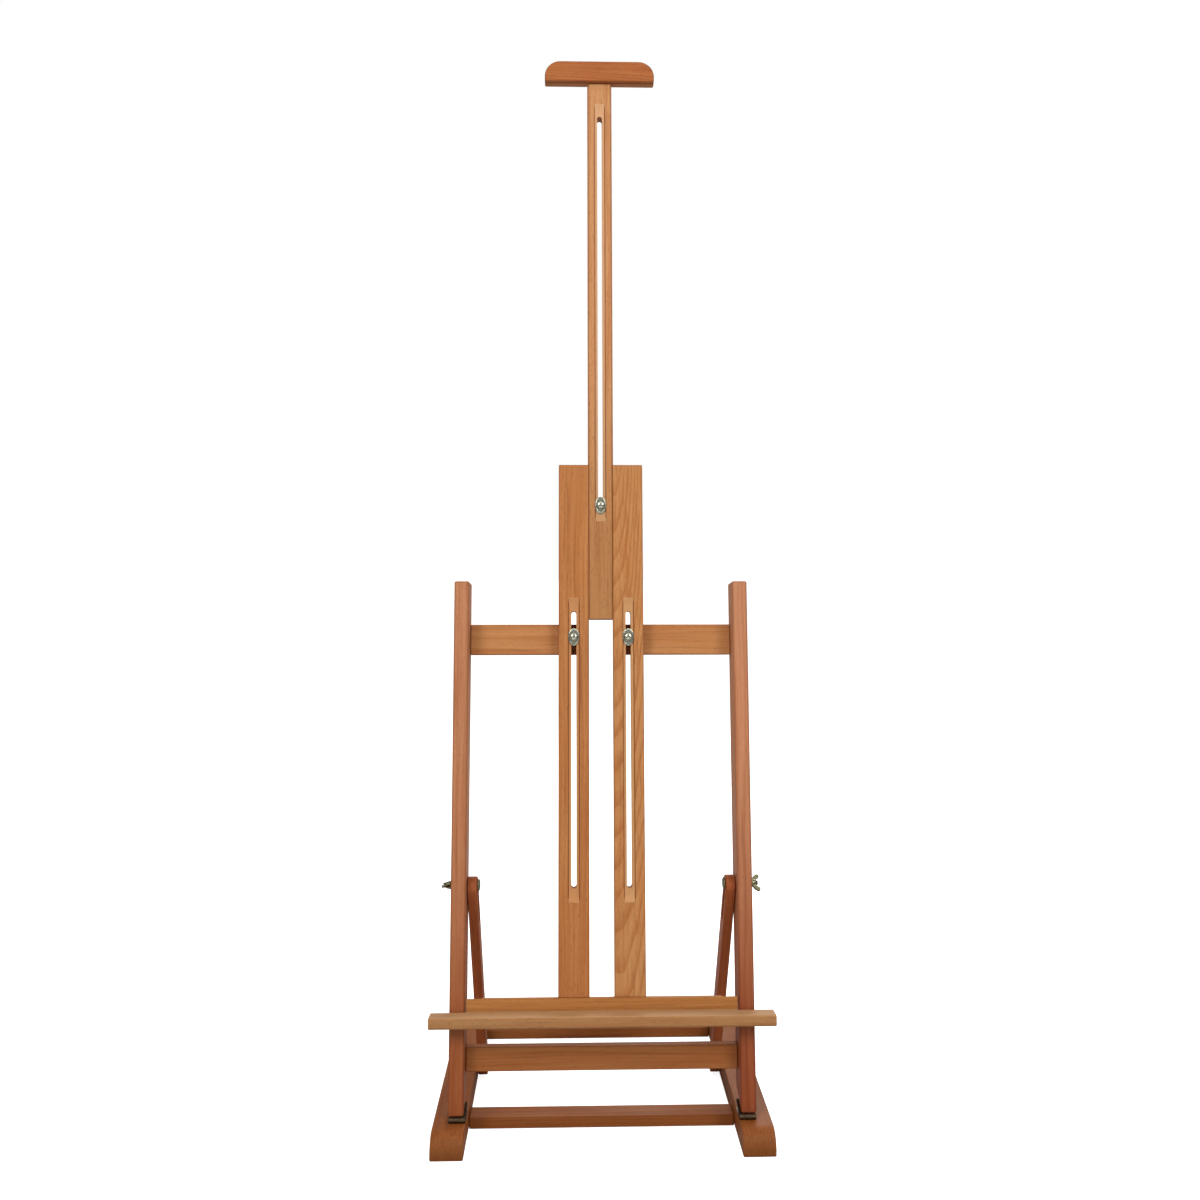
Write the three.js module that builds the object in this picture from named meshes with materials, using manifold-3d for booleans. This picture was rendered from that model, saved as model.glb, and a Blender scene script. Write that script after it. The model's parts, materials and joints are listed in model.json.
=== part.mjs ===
// A wooden table easel: two skids and two stretchers make the base, a frame of two posts leans back
// on hinges at the skids' front ends, slotted struts hold its tilt, and a carriage of two slotted
// rails carries the shelf and guides the mast with the head that holds the picture's top edge.
//
// Millimetres. X runs to the easel's left and right, -Y is its front, +Z is up, and the origin is
// on the table at the centre of the footprint.

import * as THREE from 'three';
import { mergeVertices } from 'three/addons/utils/BufferGeometryUtils.js';
import Module from 'manifold-3d';

const wasm = await Module();
wasm.setup();

// ---------------------------------------------------------------------------------------------
// Driving dimensions
// ---------------------------------------------------------------------------------------------

const GAP = 0.3; // left between faces that touch
const SIDES = [['left', -1], ['right', 1]];
const ARC = 8; // segments in a quarter-round stretch of wood

const FOOT = { width: 34, height: 24, length: 325, inner: 141.6, nose: 20 };
const FOOT_FRONT = -FOOT.length / 2;

const STRETCHER = { thick: 12, bottom: 0.5, depth: 24, tenon: 12 };
const FRONT_STRETCHER_Y = FOOT_FRONT + 62;
const REAR_STRETCHER_Y = FOOT_FRONT + 280;

const TILT = THREE.MathUtils.degToRad(6.72); // how far the frame leans back at rest
const HINGE = {
  y: FOOT_FRONT + 29, z: 27, centre: 150.5, width: 17.4, radius: 2.8, pin: 1.2, leaf: 1, reach: 24,
};

// Inside the frame, z is the height above the hinge axis and y the depth behind it.
const POST = { inner: 144.3, width: 16.2, front: 3.5, depth: 34, top: 559, bevel: 26 };
const POST_BACK = POST.front + POST.depth;
const POST_MIDDLE = POST.front + POST.depth / 2;

const ARM = { inner: 18, bottom: 479, top: 512.5, depth: 13.4 };
const LOWER_RAIL = { bottom: 41, top: 66, front: 19.5, depth: 12 };
const TENON = { length: 9, depth: 7, shoulder: 5 };

const RAIL = { gap: 26.4, width: 33.4, depth: 14, front: POST.front + 6, bottom: 94, top: 690 };
const RAIL_BACK = RAIL.front + RAIL.depth;
const RAIL_CENTRE = RAIL.gap / 2 + RAIL.width / 2;
const RAIL_SLOT = { bottom: 229.6, top: 526.3 };
const RAIL_BOLT_Z = 498;

const SLOT_WIDTH = 5.6;
const GROOVE = { width: 12.6, depth: 1.6, beyond: 15, runout: 12 };

const TONGUE = { out: 1.2, thick: 5, play: 0.35 };
const MAST = { width: 25.8, bottom: 517.3, lap: 1141.7, top: 1160, lapDepth: 8 };
const MAST_SLOT = { bottom: 641.2, top: 1101.7 };
const MAST_BOLT_Z = 644.3;
const HEAD = { width: 126.8, top: 1166.6, front: POST.front + 1, depth: 14, corner: 18 };
const KERF = { width: 1.4, depth: 1.2, setback: 5.2 };

const BRIDGE = { bottom: 616, top: 650, depth: 10, width: 2 * (RAIL.gap / 2 + RAIL.width) - 4 };
const SHELF_BAR = {
  half: 143.2, front: RAIL.front - 3.5, thick: 7, top: 118, endFrom: 127, endThick: 3.2,
};
const LIP = { length: 360, depth: 23.3, top: 106, round: 3, postGap: 0.8 };

const STRUT = {
  inner: 130.5, thick: 10.4, round: 10.5, slot: 9, least: 220.2, postGap: 0.6,
  headGap: 0.9,
};
const STRUT_PIVOT = new THREE.Vector2(FOOT_FRONT + 184, 13);
const TILT_BOLT_Z = 232.6;

const M5 = { shank: 2.5, hole: 2.85, washer: 5, washerThick: 1, facets: 20 };
const DOME = { radius: 4.6, height: 2.9 };
const PLATE = { width: 11.9, height: 19.2, thick: 1.2 };
const WING = { span: 21, hub: 4.4, hubTop: 3.3, hubHeight: 5, height: 9, thick: 2.4 };
const NUT = { across: 8, thick: 4, recess: 7, room: 5.6 };
const SCREW = { shank: 1.5, head: 3.1, hole: 0.35 };
const SCREW_LENGTH = { hinge: 14, bridge: 19, shelf: 14, head: 12 };

// ---------------------------------------------------------------------------------------------
// Materials
// ---------------------------------------------------------------------------------------------

const beech = (name, color) => new THREE.MeshStandardMaterial({ name, color, roughness: 0.55 });
const metal = (name, color, roughness) =>
  new THREE.MeshStandardMaterial({ name, color, roughness, metalness: 1 });

const BEECH = beech('oiled_beech', 0xb87840);
const BEECH_PINK = beech('oiled_beech_pink', 0xb07050);
const BEECH_PALE = beech('oiled_beech_pale', 0xb08255);
const BEECH_DARK = beech('oiled_beech_dark', 0x8c5030);
const ZINC = metal('zinc_plated_steel', 0xb9b8ae, 0.3);
const STEEL = metal('dark_hinge_steel', 0x77736b, 0.4);

// ---------------------------------------------------------------------------------------------
// Geometry helpers
// ---------------------------------------------------------------------------------------------

// A closed geometry as a manifold solid.
function solid(geometry) {
  const bare = geometry.clone();
  bare.deleteAttribute('normal');
  bare.deleteAttribute('uv');
  const merged = mergeVertices(bare, 1e-4);
  const mesh = new wasm.Mesh({
    numProp: 3,
    vertProperties: new Float32Array(merged.attributes.position.array),
    triVerts: new Uint32Array(merged.index.array),
  });
  return new wasm.Manifold(mesh);
}

// A manifold solid as a geometry.
function geometryOf(body) {
  const mesh = body.getMesh();
  const geometry = new THREE.BufferGeometry();
  geometry.setAttribute('position', new THREE.BufferAttribute(mesh.vertProperties, 3));
  geometry.setIndex(new THREE.BufferAttribute(mesh.triVerts, 1));
  return geometry;
}

// The first geometry with the others taken away.
function cut(geometry, ...cutters) {
  let body = solid(geometry);
  for (const cutter of cutters) body = body.subtract(solid(cutter));
  return geometryOf(body);
}

function join(...geometries) {
  let body = solid(geometries[0]);
  for (const geometry of geometries.slice(1)) body = body.add(solid(geometry));
  return geometryOf(body);
}

// The stretch between two distances from the middle, on one side.
function span(side, near, far) {
  return side < 0 ? [-far, -near] : [near, far];
}

function block([x0, x1], [y0, y1], [z0, z1]) {
  const box = new THREE.BoxGeometry(x1 - x0, y1 - y0, z1 - z0);
  return box.translate((x0 + x1) / 2, (y0 + y1) / 2, (z0 + z1) / 2);
}

// An outline drawn in (y, z), extruded along X from x0 to x1.
function sidePiece(outline, x0, x1) {
  const options = { depth: x1 - x0, bevelEnabled: false, curveSegments: ARC };
  const turn = new THREE.Matrix4().makeBasis(
    new THREE.Vector3(0, 1, 0),
    new THREE.Vector3(0, 0, 1),
    new THREE.Vector3(1, 0, 0),
  );
  return new THREE.ExtrudeGeometry(outline, options).applyMatrix4(turn).translate(x0, 0, 0);
}

// An outline drawn in (x, z), extruded along Y from y0 to y1.
function frontPiece(outline, y0, y1) {
  const options = { depth: y1 - y0, bevelEnabled: false, curveSegments: ARC };
  const turn = new THREE.Matrix4().makeBasis(
    new THREE.Vector3(1, 0, 0),
    new THREE.Vector3(0, 0, 1),
    new THREE.Vector3(0, -1, 0),
  );
  return new THREE.ExtrudeGeometry(outline, options).applyMatrix4(turn).translate(0, y1, 0);
}

function polygon(...points) {
  return new THREE.Shape(points.map(([a, b]) => new THREE.Vector2(a, b)));
}

// An upright round-ended outline: its end arcs are centred at heights low and high.
function capsule(centre, low, high, radius) {
  const shape = new THREE.Shape();
  shape.absarc(centre, high, radius, 0, Math.PI, false);
  shape.absarc(centre, low, radius, Math.PI, 2 * Math.PI, false);
  return shape;
}

const ALONG = {
  x: new THREE.Quaternion().setFromUnitVectors(new THREE.Vector3(0, 1, 0), new THREE.Vector3(1, 0, 0)),
  y: new THREE.Quaternion(),
};

// A cylinder from one end to the other along X or Y.
function rod(axis, radius, from, to, [a, b], facets = M5.facets) {
  const cylinder = new THREE.CylinderGeometry(radius, radius, to - from, facets);
  cylinder.applyQuaternion(ALONG[axis]);
  const middle = (from + to) / 2;
  return axis === 'x' ? cylinder.translate(middle, a, b) : cylinder.translate(a, middle, b);
}

// A turned piece: [radius, distance] points along its axis, which runs along +X, -X or +Y.
function turned(points, axis, sign, [x, y, z], facets = M5.facets) {
  const profile = points.map(([radius, distance]) => new THREE.Vector2(radius, distance));
  const lathe = new THREE.LatheGeometry(profile, facets);
  if (sign < 0) lathe.rotateZ(Math.PI);
  return lathe.applyQuaternion(ALONG[axis]).translate(x, y, z);
}

function place(group, name, geometry, material) {
  const mesh = new THREE.Mesh(geometry, material);
  mesh.name = name;
  group.add(mesh);
}

// ---------------------------------------------------------------------------------------------
// Fasteners
// ---------------------------------------------------------------------------------------------

// A dome-headed bolt: the head's underside is at distance 0 and the shank runs the other way.
function domeBolt(length, axis, sign, at) {
  const points = [[0, -length], [M5.shank, -length], [M5.shank, 0], [DOME.radius, 0]];
  const steps = 5;
  for (let i = 1; i < steps; i += 1) {
    const angle = (i / steps) * (Math.PI / 2);
    points.push([DOME.radius * Math.cos(angle), DOME.height * Math.sin(angle)]);
  }
  points.push([0, DOME.height]);
  return turned(points, axis, sign, at);
}

function washer(axis, sign, at) {
  const { hole, washer: radius, washerThick: thick } = M5;
  const ring = [[hole, 0], [radius, 0], [radius, thick], [hole, thick], [hole, 0]];
  return turned(ring, axis, sign, at);
}

// A wing nut standing on distance 0, with its two wings across the axis.
function wingNut(axis, sign, at, turn) {
  const { span, hub, hubTop, hubHeight, height, thick } = WING;
  const core = new THREE.LatheGeometry(
    [[0, 0], [hub, 0], [hubTop, hubHeight], [0, hubHeight]].map(([r, d]) => new THREE.Vector2(r, d)),
    M5.facets,
  );
  const wing = new THREE.Shape();
  wing.moveTo(0, 1);
  wing.lineTo(hub, 1);
  wing.quadraticCurveTo(span / 2 - 1, 2.5, span / 2, height - 2.4);
  wing.absarc(span / 2 - 2.4, height - 2.4, 2.4, 0, Math.PI * 0.75, false);
  wing.quadraticCurveTo(hub + 0.8, hubHeight, hubTop - 0.5, hubHeight - 0.4);
  wing.lineTo(0, hubHeight - 0.4);
  const options = { depth: thick, bevelEnabled: false, curveSegments: 5 };
  const first = new THREE.ExtrudeGeometry(wing, options).translate(0, 0, -thick / 2);
  const second = first.clone().rotateY(Math.PI);
  const bore = new THREE.CylinderGeometry(M5.hole, M5.hole, 4 * height, M5.facets);
  const nut = cut(join(core, first, second), bore);
  nut.rotateY(turn);
  if (sign < 0) nut.rotateZ(Math.PI);
  return nut.applyQuaternion(ALONG[axis]).translate(...at);
}

// A countersunk wood screw: its flat head is at distance 0 and its point runs to -length.
function screw(length) {
  const { shank, head } = SCREW;
  const points = [[0, -length], [shank, -length + 3], [shank, -head + shank], [head, 0], [0, 0]];
  return new THREE.LatheGeometry(points.map(([r, d]) => new THREE.Vector2(r, d)), 14);
}

// The hole for that screw, a clearance larger all round and open past the head.
function screwHole(length) {
  const { shank, head, hole } = SCREW;
  const points = [
    [0, -length - hole],
    [shank + hole, -length + 3 - hole],
    [shank + hole, -head + shank],
    [head + hole, 0],
    [head + hole, 4],
    [0, 4],
  ];
  return new THREE.LatheGeometry(points.map(([r, d]) => new THREE.Vector2(r, d)), 14);
}

// Turns a screw or its hole so that its head faces a direction, and puts the head at a point.
function aimed(geometry, facing, [x, y, z]) {
  const turn = new THREE.Quaternion().setFromUnitVectors(new THREE.Vector3(0, 1, 0), facing);
  return geometry.applyQuaternion(turn).translate(x, y, z);
}

const TO_BACK = new THREE.Vector3(0, 1, 0);

// ---------------------------------------------------------------------------------------------
// Slots and grooves in the rails and the mast
// ---------------------------------------------------------------------------------------------

function slotCutter(centre, { bottom, top }) {
  const radius = SLOT_WIDTH / 2;
  const outline = capsule(centre, bottom + radius, top - radius, radius);
  return frontPiece(outline, RAIL.front - 5, RAIL_BACK + 5);
}

// The shallow groove that a bolt's plate runs in: it runs out in a curve at each end.
function grooveCutter(centre, slot) {
  const { width, depth, beyond, runout } = GROOVE;
  const front = RAIL.front;
  const low = slot.bottom - beyond;
  const high = slot.top + beyond;
  const outline = new THREE.Shape();
  outline.moveTo(front - 2, low);
  outline.lineTo(front, low);
  outline.quadraticCurveTo(front + depth, low + runout / 2, front + depth, low + runout);
  outline.lineTo(front + depth, high - runout);
  outline.quadraticCurveTo(front + depth, high - runout / 2, front, high);
  outline.lineTo(front - 2, high);
  return sidePiece(outline, centre - width / 2, centre + width / 2);
}

// ---------------------------------------------------------------------------------------------
// Base: skids, stretchers and the lower hinge leaves
// ---------------------------------------------------------------------------------------------

function tenonBar(inner, y, z, { length, depth, shoulder }) {
  const [y0, y1] = y;
  const [z0, z1] = z;
  const middle = (y0 + y1) / 2;
  const bar = block([-inner + GAP, inner - GAP], y, z);
  const reach = inner + length;
  const tenonY = [middle - depth / 2, middle + depth / 2];
  return join(bar, block([-reach, reach], tenonY, [z0 + shoulder, z1 - shoulder]));
}

function mortise(side, inner, y, z, { length, depth, shoulder }) {
  const [y0, y1] = y;
  const [z0, z1] = z;
  const middle = (y0 + y1) / 2;
  const ends = span(side, inner - 2, inner + length + 2 * GAP);
  const half = depth / 2 + GAP;
  return block(ends, [middle - half, middle + half], [z0 + shoulder - GAP, z1 - shoulder + GAP]);
}

const STRETCHER_Z = [STRETCHER.bottom, STRETCHER.bottom + STRETCHER.thick];
const STRETCHER_TENON = { length: STRETCHER.tenon, depth: 18, shoulder: 3 };
const STRETCHERS = [['front_stretcher', FRONT_STRETCHER_Y], ['rear_stretcher', REAR_STRETCHER_Y]];

function foot(side) {
  const { width, height, length, inner, nose } = FOOT;
  const back = FOOT_FRONT + length;
  const outline = new THREE.Shape();
  outline.moveTo(FOOT_FRONT, 0);
  outline.lineTo(back, 0);
  outline.absarc(back - nose, height - nose, nose, 0, Math.PI / 2, false);
  outline.absarc(FOOT_FRONT + nose, height - nose, nose, Math.PI / 2, Math.PI, false);
  const ends = span(side, inner, inner + width);
  const skid = sidePiece(outline, ...ends);
  const mortises = STRETCHERS.map(([, y]) =>
    mortise(side, inner, [y, y + STRETCHER.depth], STRETCHER_Z, STRETCHER_TENON));
  const pivotAt = [STRUT_PIVOT.x, STRUT_PIVOT.y];
  const pivotHole = rod('x', M5.hole, ends[0] - 5, ends[1] + 5, pivotAt);
  const outer = inner + width;
  const nutRecess = rod('x', NUT.room, ...span(side, outer - NUT.recess, outer + 5), pivotAt);
  const up = new THREE.Vector3(0, 0, 1);
  const leafScrewHole = aimed(screwHole(SCREW_LENGTH.hinge), up, lowerScrewAt(side));
  return cut(skid, ...mortises, pivotHole, nutRecess, leafScrewHole);
}

function lowerScrewAt(side) {
  return [side * HINGE.centre, HINGE.y + 0.7 * HINGE.reach, FOOT.height + GAP + HINGE.leaf];
}

// One hinge leaf about the axis at the origin: a slab at a distance below the axis, running back,
// with the knuckles at the given places along X. The other leaf's knuckles get a relief.
function hingeLeaf(drop, knuckles, reliefs) {
  const half = HINGE.width / 2;
  const slab = block([-half, half], [0, HINGE.reach], [-drop, -drop + HINGE.leaf]);
  const barrels = knuckles.map(([x0, x1]) => rod('x', HINGE.radius, x0, x1, [0, 0], 24));
  const room = HINGE.radius + 0.5;
  const spaces = reliefs.map(([x0, x1]) => block([x0, x1], [-1, room], [-room, room]));
  const bore = rod('x', HINGE.pin + GAP, -half - 1, half + 1, [0, 0], 16);
  return cut(join(cut(slab, ...spaces), ...barrels), bore);
}

const KNUCKLE = HINGE.width / 6;
const OUTER_KNUCKLES = [[-3 * KNUCKLE, -KNUCKLE - GAP], [KNUCKLE + GAP, 3 * KNUCKLE]];
const MIDDLE_KNUCKLE = [[-KNUCKLE, KNUCKLE]];
const OUTER_RELIEF = [[-3 * KNUCKLE - 1, -KNUCKLE], [KNUCKLE, 3 * KNUCKLE + 1]];
const MIDDLE_RELIEF = [[-KNUCKLE - GAP, KNUCKLE + GAP]];
const LOWER_LEAF_DROP = HINGE.z - FOOT.height - GAP;
const UPPER_LEAF_DROP = LOWER_LEAF_DROP - HINGE.leaf - 0.2;

function buildBase(group) {
  for (const [name, y] of STRETCHERS) {
    const bar = tenonBar(FOOT.inner, [y, y + STRETCHER.depth], STRETCHER_Z, STRETCHER_TENON);
    place(group, name, bar, BEECH_DARK);
  }
  for (const [name, side] of SIDES) {
    const x = side * HINGE.centre;
    place(group, `foot_${name}`, foot(side), BEECH_DARK);

    const leaf = hingeLeaf(LOWER_LEAF_DROP, OUTER_KNUCKLES, MIDDLE_RELIEF).translate(x, HINGE.y, HINGE.z);
    const up = new THREE.Vector3(0, 0, 1);
    const hole = aimed(screwHole(SCREW_LENGTH.hinge), up, lowerScrewAt(side));
    place(group, `hinge_leaf_lower_${name}`, cut(leaf, hole), STEEL);
    const leafScrew = aimed(screw(SCREW_LENGTH.hinge), up, lowerScrewAt(side));
    place(group, `hinge_screw_lower_${name}`, leafScrew, STEEL);
    const half = HINGE.width / 2;
    const pin = rod('x', HINGE.pin, x - half, x + half, [HINGE.y, HINGE.z], 16);
    place(group, `hinge_pin_${name}`, pin, STEEL);

    // The strut's pivot: the bolt's head is inside the strut and its nut is sunk in the skid.
    const { x: y, y: z } = STRUT_PIVOT;
    const headAt = [side * (STRUT.inner - GAP), y, z];
    const nutAt = side * (FOOT.inner + FOOT.width - NUT.recess + GAP);
    const length = FOOT.inner + FOOT.width - 1 - STRUT.inner;
    place(group, `strut_pivot_bolt_${name}`, domeBolt(length, 'x', -side, headAt), ZINC);
    place(group, `strut_pivot_nut_${name}`, hexNut(side, [nutAt, y, z]), ZINC);
  }
}

function hexNut(side, at) {
  const body = new THREE.CylinderGeometry(NUT.across / 1.732, NUT.across / 1.732, NUT.thick, 6);
  const bore = new THREE.CylinderGeometry(M5.hole, M5.hole, 3 * NUT.thick, M5.facets);
  const nut = cut(body, bore).translate(0, NUT.thick / 2, 0);
  if (side < 0) nut.rotateZ(Math.PI);
  return nut.applyQuaternion(ALONG.x).translate(...at);
}

// ---------------------------------------------------------------------------------------------
// Struts
// ---------------------------------------------------------------------------------------------

// Where the tilt bolt is at rest, in the base's own frame.
const TILT_BOLT = new THREE.Vector2(
  HINGE.y + POST_MIDDLE * Math.cos(TILT) + TILT_BOLT_Z * Math.sin(TILT),
  HINGE.z - POST_MIDDLE * Math.sin(TILT) + TILT_BOLT_Z * Math.cos(TILT),
);

// The skids are closer together than the posts, so each strut leans outwards on its way up.
function buildStruts(group) {
  const along = TILT_BOLT.clone().sub(STRUT_PIVOT);
  const reach = along.length();
  const step = POST.inner - STRUT.postGap - STRUT.inner - STRUT.thick;
  const lean = Math.atan(step / reach);
  const centre = STRUT.inner + STRUT.thick / 2;
  for (const [name, side] of SIDES) {
    const x = span(side, STRUT.inner, STRUT.inner + STRUT.thick);
    const bar = sidePiece(capsule(0, 0, reach - 2, STRUT.round), ...x);
    const radius = STRUT.slot / 2;
    const slot = sidePiece(capsule(0, STRUT.least - 1, reach, radius), x[0] - 5, x[1] + 5);
    const hole = rod('x', M5.hole, x[0] - 5, x[1] + 5, [0, 0]);
    const strut = cut(bar, slot, hole);
    strut.translate(-side * centre, 0, 0).rotateY(side * lean).translate(side * centre, 0, 0);
    strut.rotateX(Math.atan2(-along.x, along.y));
    strut.translate(0, STRUT_PIVOT.x, STRUT_PIVOT.y);
    place(group, `strut_${name}`, strut, BEECH_DARK);
  }
}

// ---------------------------------------------------------------------------------------------
// Frame: posts, crossbar, lower rail and their fasteners
// ---------------------------------------------------------------------------------------------

const ARM_Y = [POST_BACK - ARM.depth, POST_BACK];
const ARM_Z = [ARM.bottom, ARM.top];
const LOWER_RAIL_Y = [LOWER_RAIL.front, LOWER_RAIL.front + LOWER_RAIL.depth];
const LOWER_RAIL_Z = [LOWER_RAIL.bottom, LOWER_RAIL.top];

// The bevelled lower end leaves room to lean back: how high it is at a given depth.
const BEVEL = THREE.MathUtils.degToRad(POST.bevel);
const BEVEL_DROP = UPPER_LEAF_DROP - HINGE.leaf - GAP;
const bevelHeight = (y) => y * Math.tan(BEVEL) - BEVEL_DROP / Math.cos(BEVEL);

function post(side) {
  const outline = polygon(
    [POST.front, bevelHeight(POST.front)],
    [POST_BACK, bevelHeight(POST_BACK)],
    [POST_BACK, POST.top],
    [POST.front, POST.top],
  );
  const x = span(side, POST.inner, POST.inner + POST.width);
  const upright = sidePiece(outline, ...x);
  return cut(
    upright,
    mortise(side, POST.inner, ARM_Y, ARM_Z, TENON),
    mortise(side, POST.inner, LOWER_RAIL_Y, LOWER_RAIL_Z, TENON),
    rod('x', M5.hole, x[0] - 5, x[1] + 5, [POST_MIDDLE, TILT_BOLT_Z]),
    bevelled(screwHole(SCREW_LENGTH.hinge)).translate(side * HINGE.centre, 0, 0),
  );
}

// Puts a screw, or its hole, through the upper leaf: square to the bevel, head downwards.
function bevelled(geometry) {
  geometry.rotateX(-Math.PI / 2).translate(0, 0.7 * HINGE.reach, -UPPER_LEAF_DROP);
  return geometry.rotateX(BEVEL);
}

function buildFrame(group) {
  for (const [name, side] of SIDES) {
    const x = side * HINGE.centre;
    place(group, `post_${name}`, post(side), BEECH_PINK);

    const leaf = hingeLeaf(UPPER_LEAF_DROP, MIDDLE_KNUCKLE, OUTER_RELIEF).rotateX(BEVEL);
    const pierced = cut(leaf, bevelled(screwHole(SCREW_LENGTH.hinge)));
    place(group, `hinge_leaf_upper_${name}`, pierced.translate(x, 0, 0), STEEL);
    const leafScrew = bevelled(screw(SCREW_LENGTH.hinge)).translate(x, 0, 0);
    place(group, `hinge_screw_upper_${name}`, leafScrew, STEEL);

    // The tilt bolt runs outwards through the strut, the post, a washer and a wing nut.
    const outer = POST.inner + POST.width + GAP;
    const head = POST.inner - STRUT.postGap - STRUT.thick - STRUT.headGap;
    const length = outer + M5.washerThick + WING.hubHeight + 2 - head;
    const headAt = [side * head, POST_MIDDLE, TILT_BOLT_Z];
    place(group, `tilt_bolt_${name}`, tiltBolt(length, -side, headAt), ZINC);
    const washerAt = [side * outer, POST_MIDDLE, TILT_BOLT_Z];
    place(group, `tilt_washer_${name}`, washer('x', side, washerAt), ZINC);
    const nutAt = [side * (outer + M5.washerThick + GAP), POST_MIDDLE, TILT_BOLT_Z];
    const turn = side < 0 ? 0 : Math.PI / 4;
    place(group, `tilt_wing_nut_${name}`, wingNut('x', side, nutAt, turn), ZINC);
  }

  place(group, 'lower_rail', tenonBar(POST.inner, LOWER_RAIL_Y, LOWER_RAIL_Z, TENON), BEECH_DARK);

  for (const [name, side] of SIDES) {
    place(group, `crossbar_${name}`, crossbarArm(side), BEECH);
    clamp(group, 'rail', `_${name}`, side * RAIL_CENTRE, RAIL_BOLT_Z, POST_BACK, side);
  }
}

// The crossbar is two arms: each runs from its post to behind its rail, clear of the mast's path.
function crossbarArm(side) {
  const shoulder = POST.inner - GAP;
  const bar = block(span(side, ARM.inner, shoulder), ARM_Y, ARM_Z);
  const middle = (ARM_Y[0] + ARM_Y[1]) / 2;
  const tenonY = [middle - TENON.depth / 2, middle + TENON.depth / 2];
  const tenonZ = [ARM.bottom + TENON.shoulder, ARM.top - TENON.shoulder];
  const tenon = block(span(side, shoulder - 10, POST.inner + TENON.length), tenonY, tenonZ);
  const boltAt = [side * RAIL_CENTRE, RAIL_BOLT_Z];
  return cut(join(bar, tenon), rod('y', M5.hole, ARM_Y[0] - 5, POST_BACK + 5, boltAt));
}

// The tilt bolt's flat dome is wider than the strut's slot.
function tiltBolt(length, sign, at) {
  const shank = [[0, -length], [M5.shank, -length], [M5.shank, 0]];
  const dome = [[6.6, 0], [6.2, 0.9], [4.6, 1.7], [2.4, 2.1], [0, 2.2]];
  return turned([...shank, ...dome], 'x', sign, at);
}

// A bolt and its plate in a groove in front, with a washer and a wing nut behind the wood.
function clamp(group, label, suffix, x, z, back, turn) {
  const floor = RAIL.front + GROOVE.depth - GAP;
  const oval = new THREE.Shape();
  oval.absellipse(x, z, PLATE.width / 2, PLATE.height / 2, 0, 2 * Math.PI);
  const blank = frontPiece(oval, floor - PLATE.thick, floor);
  const plate = cut(blank, rod('y', M5.hole, floor - 9, floor + 9, [x, z]));
  place(group, `${label}_bolt_plate${suffix}`, plate, ZINC);

  const headFace = floor - PLATE.thick - GAP;
  const nutFace = back + GAP + M5.washerThick + GAP;
  const length = nutFace + WING.hubHeight + 2 - headFace;
  place(group, `${label}_bolt${suffix}`, domeBolt(length, 'y', -1, [x, headFace, z]), ZINC);
  place(group, `${label}_washer${suffix}`, washer('y', 1, [x, back + GAP, z]), ZINC);
  place(group, `${label}_wing_nut${suffix}`, wingNut('y', 1, [x, nutFace, z], 0.5 * turn), ZINC);
}

// ---------------------------------------------------------------------------------------------
// Carriage: rails, shelf and the bridge that clamps the mast
// ---------------------------------------------------------------------------------------------

const SHELF_BAR_Y = [SHELF_BAR.front, SHELF_BAR.front + SHELF_BAR.thick];
const BRIDGE_Y = [RAIL_BACK + GAP, RAIL_BACK + GAP + BRIDGE.depth];
const RAIL_MIDDLE = RAIL.front + RAIL.depth / 2;
const TONGUE_Y = [RAIL_MIDDLE - TONGUE.thick / 2, RAIL_MIDDLE + TONGUE.thick / 2];

function bridgeScrewAt(side) {
  return [side * (RAIL_CENTRE + 9), BRIDGE_Y[1], (BRIDGE.bottom + BRIDGE.top) / 2];
}

function shelfScrewAt(side) {
  return [side * RAIL_CENTRE, RAIL_BACK, (RAIL.bottom + SHELF_BAR.top) / 2];
}

function rail(side) {
  const x = span(side, RAIL.gap / 2, RAIL.gap / 2 + RAIL.width);
  const bar = block(x, [RAIL.front, RAIL_BACK], [RAIL.bottom, RAIL.top]);
  const play = TONGUE.play;
  const edge = RAIL.gap / 2;
  const grooveX = span(side, edge - 2, edge + TONGUE.out + play);
  const grooveY = [TONGUE_Y[0] - play, TONGUE_Y[1] + play];
  const lapY = [RAIL.front - 5, SHELF_BAR_Y[1] + GAP];
  return cut(
    bar,
    block(span(side, edge - 5, edge + RAIL.width + 5), lapY, [RAIL.bottom - 5, SHELF_BAR.top + GAP]),
    slotCutter(side * RAIL_CENTRE, RAIL_SLOT),
    grooveCutter(side * RAIL_CENTRE, RAIL_SLOT),
    block(grooveX, grooveY, [RAIL.bottom - 5, RAIL.top + 5]),
    aimed(screwHole(SCREW_LENGTH.bridge), TO_BACK, bridgeScrewAt(side)),
    aimed(screwHole(SCREW_LENGTH.shelf), TO_BACK, shelfScrewAt(side)),
  );
}

function lipOutline() {
  const back = SHELF_BAR.front - GAP;
  const front = back - LIP.depth;
  const { top, round } = LIP;
  const bottom = RAIL.bottom;
  const outline = new THREE.Shape();
  outline.moveTo(back, bottom);
  outline.lineTo(back, top);
  outline.absarc(front + round, top - round, round, Math.PI / 2, Math.PI, false);
  outline.absarc(front + round, bottom + round, round, Math.PI, 1.5 * Math.PI, false);
  return outline;
}

// The lip meets the shelf bar between the posts, and its ends are notched to pass in front of them.
function lip() {
  const half = LIP.length / 2;
  const blank = sidePiece(lipOutline(), -half, half);
  const notches = SIDES.map(([, side]) =>
    block(
      span(side, SHELF_BAR.half, half + 5),
      [POST.front - LIP.postGap, RAIL.front],
      [RAIL.bottom - 5, LIP.top + 5],
    ));
  return cut(blank, ...notches);
}

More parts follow.
